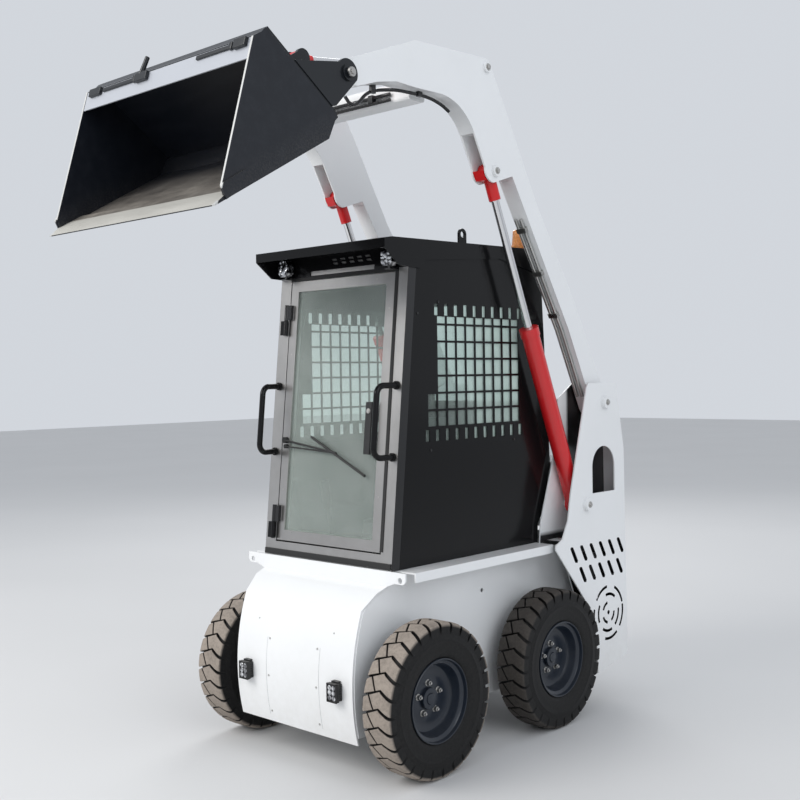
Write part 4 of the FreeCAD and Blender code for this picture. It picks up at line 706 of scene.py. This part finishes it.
# The rim's section from its outer lip round to its inner one: (depth from the tyre's outer side, radius)
RIM_SECTION = [
    (0.008, RIM_RADIUS), (0.0065, RIM_RADIUS - 0.002), (0.0075, RIM_RADIUS - 0.005),
    (0.014, RIM_RADIUS - 0.0068), (0.021, RIM_RADIUS - 0.008), (0.025, RIM_RADIUS - 0.013),
    (0.028, RIM_RADIUS - 0.021), (0.034, RIM_RADIUS - 0.024), (0.060, RIM_RADIUS - 0.028),
    (0.070, RIM_RADIUS - 0.035), (0.074, RIM_RADIUS - 0.047), (0.075, 0.086), (0.072, 0.076),
    (0.072, 0.040), (0.078, 0.040), (0.080, 0.086), (0.080, RIM_RADIUS - 0.037),
    (0.076, RIM_RADIUS - 0.020), (0.110, RIM_RADIUS - 0.020), (0.118, RIM_RADIUS - 0.006),
    (0.132, RIM_RADIUS - 0.005), (0.132, RIM_RADIUS),
]
# Turned parts: (depth of the foot, depth of the top, radius, radius of the top, sides, rounding)
HUB = ((0.073, 0.057, 0.043, 0.041, 40, 0.002), (0.058, 0.052, 0.024, 0.021, 40, 0.002))
NUT = ((0.0735, 0.0695, 0.0135, 0.0125, 20, 0.0006), (0.0700, 0.0560, 0.0105, 0.0095, 6, 0.0010),
       (0.0580, 0.0500, 0.0055, 0.0050, 14, 0.0008))
NUTS = 5
NUT_CIRCLE = 0.060
FIRST_NUT = 0.35


def wheel_rim(corner, side, centre):
    """Pressed steel rim, deep on the outside, with five nuts round the hub."""
    def inward(depth):
        return side * (TYRE_OUTER - depth)

    def stack(bm, parts, y, z):
        for foot, top, radius, tip, sides, rounding in parts:
            turned(bm, (inward(foot), y, z), (inward(top), y, z), radius, sides, tip, rounding)

    name = "rim_" + corner + "_pressed"
    bm = spin_profile([(inward(depth), radius) for depth, radius in RIM_SECTION], centre, 96)
    stack(bm, HUB, centre.y, centre.z)
    place_piece(name, finish_mesh(bm, name), "wheel_" + corner, FINISH["rim_paint"],
                ["rim_" + corner], 28.0)
    nuts = bmesh.new()
    for count in range(NUTS):
        angle = math.tau * count / NUTS + FIRST_NUT
        stack(nuts, NUT, centre.y + math.cos(angle) * NUT_CIRCLE, centre.z + math.sin(angle) * NUT_CIRCLE)
    name += "_nuts"
    place_piece(name, finish_mesh(nuts, name), "wheel_" + corner, FINISH["bare_steel"])


for end in ("front", "rear"):
    for word, side in SIDES:
        corner = end + "_" + word
        centre = Vector((0, AXLE_Y[end], AXLE_Z))
        wrap_tyre(corner, side, centre, TREAD_DUST[end])
        wheel_rim(corner, side, centre)

# The CAD's own shapes, with eased edges and their finishes. A finish without rounding says so in ROUNDING.

EDGE_ROUNDING = 0.0012
PLAIN = {
    "white_paint": ["chassis_tub", "front_plate", "engine_hood", "rear_door",
                    "boom_arm_left", "boom_arm_right", "boom_crossbeam"],
    "tower_paint": ["tower_inner_left", "tower_inner_right"],
    "cut_paint": ["tower_left", "tower_right"],
    "black_panel": ["cab_side_left", "cab_side_right", "cab_rear", "cab_roof", "cab_floor", "lifting_eyes",
                    "grab_handles", "door_hinges"],
    "post_steel": ["cab_frame"],
    "door_steel": ["door_frame"],
    "bucket_paint": ["bucket"],
    "coupler_paint": ["coupler"],
    "red_paint": ["lift_barrel_left", "lift_barrel_right", "tilt_barrel_left", "tilt_barrel_right"],
    "black_plastic": ["door_lock", "wiper", "control_levers"],
    "pipe_paint": ["boom_pipes"],
    "door_pane": ["door_glass"],
    "side_pane": ["side_windows", "rear_window"],
    "work_lamp": ["work_lights"],
    "amber": ["beacon"],
    "cast_iron": ["axle_front", "axle_rear", "engine_block"],
}
ROUNDING = {"door_pane": 0.0, "side_pane": 0.0, "cast_iron": 0.0}
for finish_name, nodes in PLAIN.items():
    for node in nodes:
        dress(node, FINISH[finish_name],
              ROUNDING.get(finish_name, EDGE_ROUNDING))

for word, side in SIDES:
    for kind, x, eye, foot, red_length in (
        ("lift", LIFT_X, LIFT_EYE, LIFT_FOOT, 0.117),
        ("tilt", TILT_X, TILT_EYE, TILT_FOOT, 0.068),
    ):
        rod = kind + "_rod_"
        chrome = rod_chrome(rod + "chrome_" + word, at_pin(side * x, eye), at_pin(side * x, foot), red_length)
        dress(rod + word, chrome, 0.001)

# Trim and fasteners

# Where rays start, outside the machine, and the way that those from in front go
OUTSIDE_X = 0.7
OUTSIDE_Y = MID_Y - 1.2
REARWARD = Vector((0, 1, 0))


def surface(node):
    """What rays can be cast at, to set a piece on a node's face."""
    bm = bmesh.new()
    bm.from_mesh(frame["nodes"][node].data)
    tree = BVHTree.FromBMesh(bm)
    bm.free()
    return tree


def bolt(bm, tree, start, way, washer, head, tall, sides=6):
    """Bolt head with a washer under it, where a ray from start meets the surface."""
    place, facing, _, _ = tree.ray_cast(Vector(start), Vector(way))
    if washer:
        turned(bm, place - facing * 0.0005, place + facing * 0.0018, washer, 20, washer * 0.94, 0.0004)
    turned(bm, place - facing * 0.0005, place + facing * tall, head, sides, head * 0.9, min(head, tall) * 0.2)


def screw_in_front(bm, tree, x, z, head, tall, sides=14, washer=0.0):
    bolt(bm, tree, (x, OUTSIDE_Y, z), REARWARD, washer, head, tall, sides)


def on_cab_face(bm):
    """Moves a shape drawn against an upright face onto the cab's leaning one."""
    for vert in bm.verts:
        vert.co.y += MID_Y + CAB_FACE_Y + (vert.co.z - CAB_FACE_Z) * CAB_LEAN


def on_mouth(bm):
    """Moves a shape drawn as (across, out, down) onto the bucket's mouth."""
    for vert in bm.verts:
        across, out, down = vert.co
        vert.co = MOUTH_TOP + Vector((across, 0, 0)) + MOUTH_OUT * out + MOUTH_DOWN * down


# Rubber round the door and under the sill
seal = bmesh.new()
for low, high in (
    ((-0.306, -0.0030, 1.9300), (0.319, 0.0005, 1.9480)),
    ((0.3030, -0.0030, 0.8420), (0.319, 0.0005, 1.9480)),
    ((-0.3065, 0.0005, 0.9900), (-0.3030, 0.0080, 1.6950)),
    ((-0.3065, 0.0005, 1.8350), (-0.3030, 0.0080, 1.9300)),
    ((-0.366, -0.0060, 0.7780), (0.366, 0.0030, 0.8010)),
):
    block(seal, low, high, 0.0012)
on_cab_face(seal)
fitted("door_seal", seal, "frame", "black_rubber")

# Bolts at the boom's and cylinders' pins, on the bosses
for word, side in SIDES:
    for body, node, pins in (
        ("frame", "tower_" + word, (BOOM_PIVOT, LIFT_FOOT)),
        ("boom", "boom_arm_" + word, (LIFT_EYE, TILT_FOOT)),
    ):
        heads = bmesh.new()
        for pin in pins:
            bolt(heads, surface(node), at_pin(side * OUTSIDE_X, pin), (-side, 0, 0), 0.0150, 0.0100, 0.0080)
        fitted(node + "_pin_bolts", heads, body, "bare_steel")

# Small round heads on the front plate, beside its seams, and the seams themselves
plate = surface("front_plate")
heads = bmesh.new()
for _, side in SIDES:
    for z in (0.476, 0.329, 0.183):
        screw_in_front(heads, plate, side * 0.139, z, 0.0045, 0.0024)
    screw_in_front(heads, plate, side * 0.218, 0.545, 0.0035, 0.0016)
fitted("front_plate_screws", heads, "frame", "bare_steel")

SEAM_X = 0.153
SEAM_FOOT = 0.167
SEAM_STEP = 0.0314
HALF_SEAM = 0.0008
seams = bmesh.new()
for _, side in SIDES:
    starts = [Vector((side * SEAM_X, OUTSIDE_Y, SEAM_FOOT + SEAM_STEP * step)) for step in range(11)]
    steps = [plate.ray_cast(start, REARWARD)[:2] for start in starts]
    for (low, low_facing), (high, high_facing) in zip(steps, steps[1:]):
        seams.faces.new([seams.verts.new(p + Vector((x, 0, 0)) + n * 0.0004)
                         for p, n, x in ((low, low_facing, -HALF_SEAM), (low, low_facing, HALF_SEAM),
                                         (high, high_facing, HALF_SEAM), (high, high_facing, -HALF_SEAM))])
bmesh.ops.remove_doubles(seams, verts=seams.verts, dist=1e-5)
extrude_by(seams, (0, 0.0012, 0))
fitted("front_plate_seams", seams, "frame", "galvanised")

# Clips on the side panels, the lock's cylinder and the door's screws
clips = bmesh.new()
for word, side in SIDES:
    panel = surface("cab_side_" + word)
    for pin in ((-0.171, 1.813), (0.319, 1.239), (-0.228, 1.223), (-0.296, 1.764)):
        bolt(clips, panel, at_pin(side * OUTSIDE_X, pin), (-side, 0, 0), 0.0, 0.0060, 0.0030, 16)
fitted("side_panel_clips", clips, "frame", "black_plastic")
screws = bmesh.new()
leaf = surface("door_frame")
for x, z in ((0.2035, 1.908), (0.279, 1.7875), (0.279, 1.05), (-0.279, 1.62), (-0.279, 1.05)):
    screw_in_front(screws, leaf, x, z, 0.0032, 0.0015)
screw_in_front(screws, surface("door_lock"), 0.2240, 1.385, 0.0080, 0.0042, 20, 0.0105)
fitted("door_screws", screws, "door", "bare_steel")

# Square lamps at the foot of the front plate: a frame, a finned body, a bracket and six lenses each
LAMP_X = 0.258
lamp_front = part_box("front_lights")[0].y
cases, lenses = bmesh.new(), bmesh.new()
for _, side in SIDES:
    x = side * LAMP_X
    block(cases, (x - 0.026, lamp_front + 0.007, 0.300), (x + 0.026, lamp_front + 0.020, 0.372), 0.0035)
    block(cases, (x - 0.024, lamp_front + 0.018, 0.303), (x + 0.024, MID_Y - 0.6535, 0.369), 0.0030)
    for rib in range(7):
        z = 0.3055 + rib * 0.0095
        block(cases, (x - 0.0262, lamp_front + 0.019, z), (x + 0.0262, lamp_front + 0.031, z + 0.0034), 0.0008)
    block(cases, (x - 0.018, lamp_front + 0.019, 0.368), (x + 0.018, MID_Y - 0.6530, 0.3775), 0.0015)
    for (low_x, low_z), (high_x, high_z) in (
        ((-0.0260, 0.300), (-0.0215, 0.372)), ((0.0215, 0.300), (0.0260, 0.372)),
        ((-0.0260, 0.300), (0.0260, 0.3045)), ((-0.0260, 0.3675), (0.0260, 0.372)),
    ):
        block(cases, (x + low_x, lamp_front + 0.0005, low_z), (x + high_x, lamp_front + 0.009, high_z), 0.0012)
    for z in (0.3165, 0.3360, 0.3555):
        for lens_x in (x - 0.0108, x + 0.0108):
            turned(lenses, (lens_x, lamp_front + 0.0080, z), (lens_x, lamp_front + 0.0020, z), 0.0092, 24,
                   0.0100, 0.0012)
fitted("front_lamp_cases", cases, "frame", "black_plastic", ["front_lights"])
fitted("front_lamp_lenses", lenses, "frame", "front_lamp")

# Pale strip across the top of the bucket's mouth, with the two latches that stand on it
strip = bmesh.new()
block(strip, (-0.4845, -0.0060, 0.0015), (0.4845, -0.0012, 0.0775), 0.0008)
on_mouth(strip)
fitted("bucket_top_strip", strip, "bucket", "strip_paint")
latches = bmesh.new()
for across, out, down in (
    ((-0.366, -0.150), (-0.002, 0.007), (0.009, 0.024)), ((0.205, 0.400), (-0.002, 0.007), (0.009, 0.024)),
    ((-0.452, -0.378), (-0.002, 0.012), (0.001, 0.031)), ((-0.148, -0.078), (-0.002, 0.014), (0.001, 0.034)),
    ((-0.166, -0.154), (-0.002, 0.011), (0.003, 0.029)), ((0.412, 0.472), (-0.002, 0.014), (0.001, 0.033)),
    ((0.386, 0.402), (-0.002, 0.011), (0.003, 0.029)),
):
    block(latches, *zip(across, out, down), 0.0025)
turned(latches, (-0.122, 0.006, 0.010), (-0.102, 0.006, -0.058), 0.0095, 16, 0.0085, 0.0025)
on_mouth(latches)
fitted("bucket_latches", latches, "bucket", "coupler_paint")

# Steel ends of the pins in the coupler
face_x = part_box("coupler")[1].x + 0.0004
ends = bmesh.new()
for _, side in SIDES:
    for start, tip, radius, tip_radius, sides in (
        (-0.0040, 0.0035, 0.0185, 0.0170, 32),
        (0.0, 0.0080, 0.0105, 0.0100, 6),
    ):
        turned(ends, at_pin(side * (face_x + start), COUPLER_PIN), at_pin(side * (face_x + tip), COUPLER_PIN),
               radius, sides, tip_radius, 0.0010)
fitted("bucket_pin_ends", ends, "bucket", "bare_steel")

# Seat

BACK_LEAN = 79.0
SEAT_CHANNELS = (0.0, 0.55)


def tip_up(bm, verts, lean, foot):
    """Turns a shape that lies flat up by lean degrees, and stands it on foot."""
    bmesh.ops.rotate(bm, cent=(0, 0, 0), matrix=Matrix.Rotation(math.radians(lean), 3, "X"), verts=verts)
    bmesh.ops.translate(bm, vec=foot, verts=verts)


def pad(name, size, lean, foot):
    """Crowned cushion lying flat as (width, length, height), tipped up by lean and stood on foot."""
    bm = bmesh.new()
    bmesh.ops.create_cube(bm, size=1.0)
    bmesh.ops.subdivide_edges(bm, edges=list(bm.edges), cuts=19, use_grid_fill=True)
    bmesh.ops.scale(bm, vec=size, verts=bm.verts)
    for _ in range(9):
        bmesh.ops.smooth_vert(bm, verts=bm.verts, factor=0.5, use_axis_x=True, use_axis_y=True,
                              use_axis_z=True)
    half = [max(v.co[i] for v in bm.verts) for i in range(3)]
    for vert in bm.verts:
        across, along = abs(vert.co.x) / half[0], abs(vert.co.y) / half[1]
        if vert.co.z > 0:
            vert.co.z += size[2] * 0.28 * (1 - across ** 4) * (1 - along ** 4)
            for channel in SEAT_CHANNELS:
                vert.co.z -= 0.011 * max(0.0, 1 - abs(across - channel) / 0.09)
    tall = max(v.co.z for v in bm.verts) - min(v.co.z for v in bm.verts)
    bmesh.ops.scale(bm, vec=(size[0] / 2 / half[0], size[1] / 2 / half[1], size[2] / tall), verts=bm.verts)
    low = min(v.co.z for v in bm.verts)
    bmesh.ops.translate(bm, vec=(0, size[1] / 2, -low), verts=bm.verts)
    tip_up(bm, bm.verts, lean, foot)
    obj = place_piece(name, finish_mesh(bm, name), "frame", FINISH["seat_cover"], (), 60.0)
    rounder = obj.modifiers.new("Rounder", "SUBSURF")
    rounder.levels = rounder.render_levels = 1


pad("seat_cushion", (0.410, 0.375, 0.085), 0.0, (0, MID_Y - 0.062, 0.8185))
pad("seat_backrest", (0.390, 0.430, 0.075), BACK_LEAN, (0, MID_Y + 0.330, 0.8950))
shell = bmesh.new()
block(shell, (-0.190, 0.0, -0.018), (0.190, 0.425, 0.004), 0.008, 3)
tip_up(shell, shell.verts, BACK_LEAN, (0, MID_Y + 0.332, 0.8950))
block(shell, (-0.200, MID_Y - 0.055, 0.7910), (0.200, MID_Y + 0.325, 0.8250), 0.008, 3)
fitted("seat_shell", shell, "frame", "black_plastic", ["seat"])

# Studio

FLOOR_SIZE = 30.0
SKY = (0.86, 0.90, 0.96, 1.0)
SKY_STRENGTH = 0.75
# Soft lamps: name, place, what it points at, width, power, colour
LAMPS = (
    ("key", (-2.2, -6.5, 5.5), (0, 0, 1.2), 5.0, 420.0, (1.0, 0.98, 0.95)),
    ("fill", (6.5, -2.0, 4.5), (0, 0, 1.4), 5.0, 130.0, (0.93, 0.96, 1.0)),
    ("back", (-4.0, 6.0, 6.0), (0, 0, 1.5), 4.0, 160.0, (1.0, 1.0, 1.0)),
)
# The camera as fitted to the photograph: its turn left, its pitch and roll in degrees, and its place
YAW, PITCH, ROLL = 42.7215, -1.1613, -0.9159
CAMERA_PLACE = Vector((3.24921, -3.52167 + MID_Y, 1.51335))
FOCAL_PIXELS = 1104.03
PICTURE_PIXELS = 800.0
SENSOR_WIDTH = 36.0


def studio():
    floor_mesh = bpy.data.meshes.new("floor")
    bm = bmesh.new()
    bmesh.ops.create_grid(bm, x_segments=1, y_segments=1, size=FLOOR_SIZE)
    bm.to_mesh(floor_mesh)
    bm.free()
    floor = bpy.data.objects.new("studio_floor", floor_mesh)
    bpy.context.scene.collection.objects.link(floor)
    ground = Finish("studio_floor", Roughness=0.75, Specular_IOR_Level=0.2)
    tone = ground.blend(ground.noise(0.6, 2.0, 0.5), rgb(0.62, 0.62, 0.62), rgb(0.66, 0.66, 0.66))
    floor_mesh.materials.append(ground.feed(Base_Color=tone))
    world = bpy.data.worlds.new("studio")
    bpy.context.scene.world = world
    world.use_nodes = True
    world.node_tree.nodes["Background"].inputs["Color"].default_value = SKY
    world.node_tree.nodes["Background"].inputs["Strength"].default_value = SKY_STRENGTH
    for name, place, aim, size, power, color in LAMPS:
        light = bpy.data.lights.new(name, "AREA")
        light.size = size
        light.energy = power
        light.color = color
        obj = bpy.data.objects.new(name, light)
        obj.location = place
        obj.rotation_euler = (Vector(aim) - Vector(place)).to_track_quat("-Z", "Y").to_euler()
        bpy.context.scene.collection.objects.link(obj)


def camera():
    yaw, pitch, roll = (math.radians(angle) for angle in (YAW, PITCH, ROLL))
    look = Vector((-math.sin(yaw) * math.cos(pitch), math.cos(yaw) * math.cos(pitch), math.sin(pitch)))
    level = Vector((math.cos(yaw), math.sin(yaw), 0.0))
    upright = level.cross(look)
    right = level * math.cos(roll) + upright * math.sin(roll)
    up = upright * math.cos(roll) - level * math.sin(roll)
    optics = bpy.data.cameras.new("camera")
    optics.sensor_width = SENSOR_WIDTH
    optics.lens = SENSOR_WIDTH * FOCAL_PIXELS / PICTURE_PIXELS
    view = bpy.data.objects.new("camera", optics)
    turn = Matrix((right, up, -look)).transposed()
    view.matrix_world = Matrix.Translation(CAMERA_PLACE) @ turn.to_4x4()
    bpy.context.scene.collection.objects.link(view)
    bpy.context.scene.camera = view


studio()
camera()
bpy.context.scene.view_settings.view_transform = "Standard"
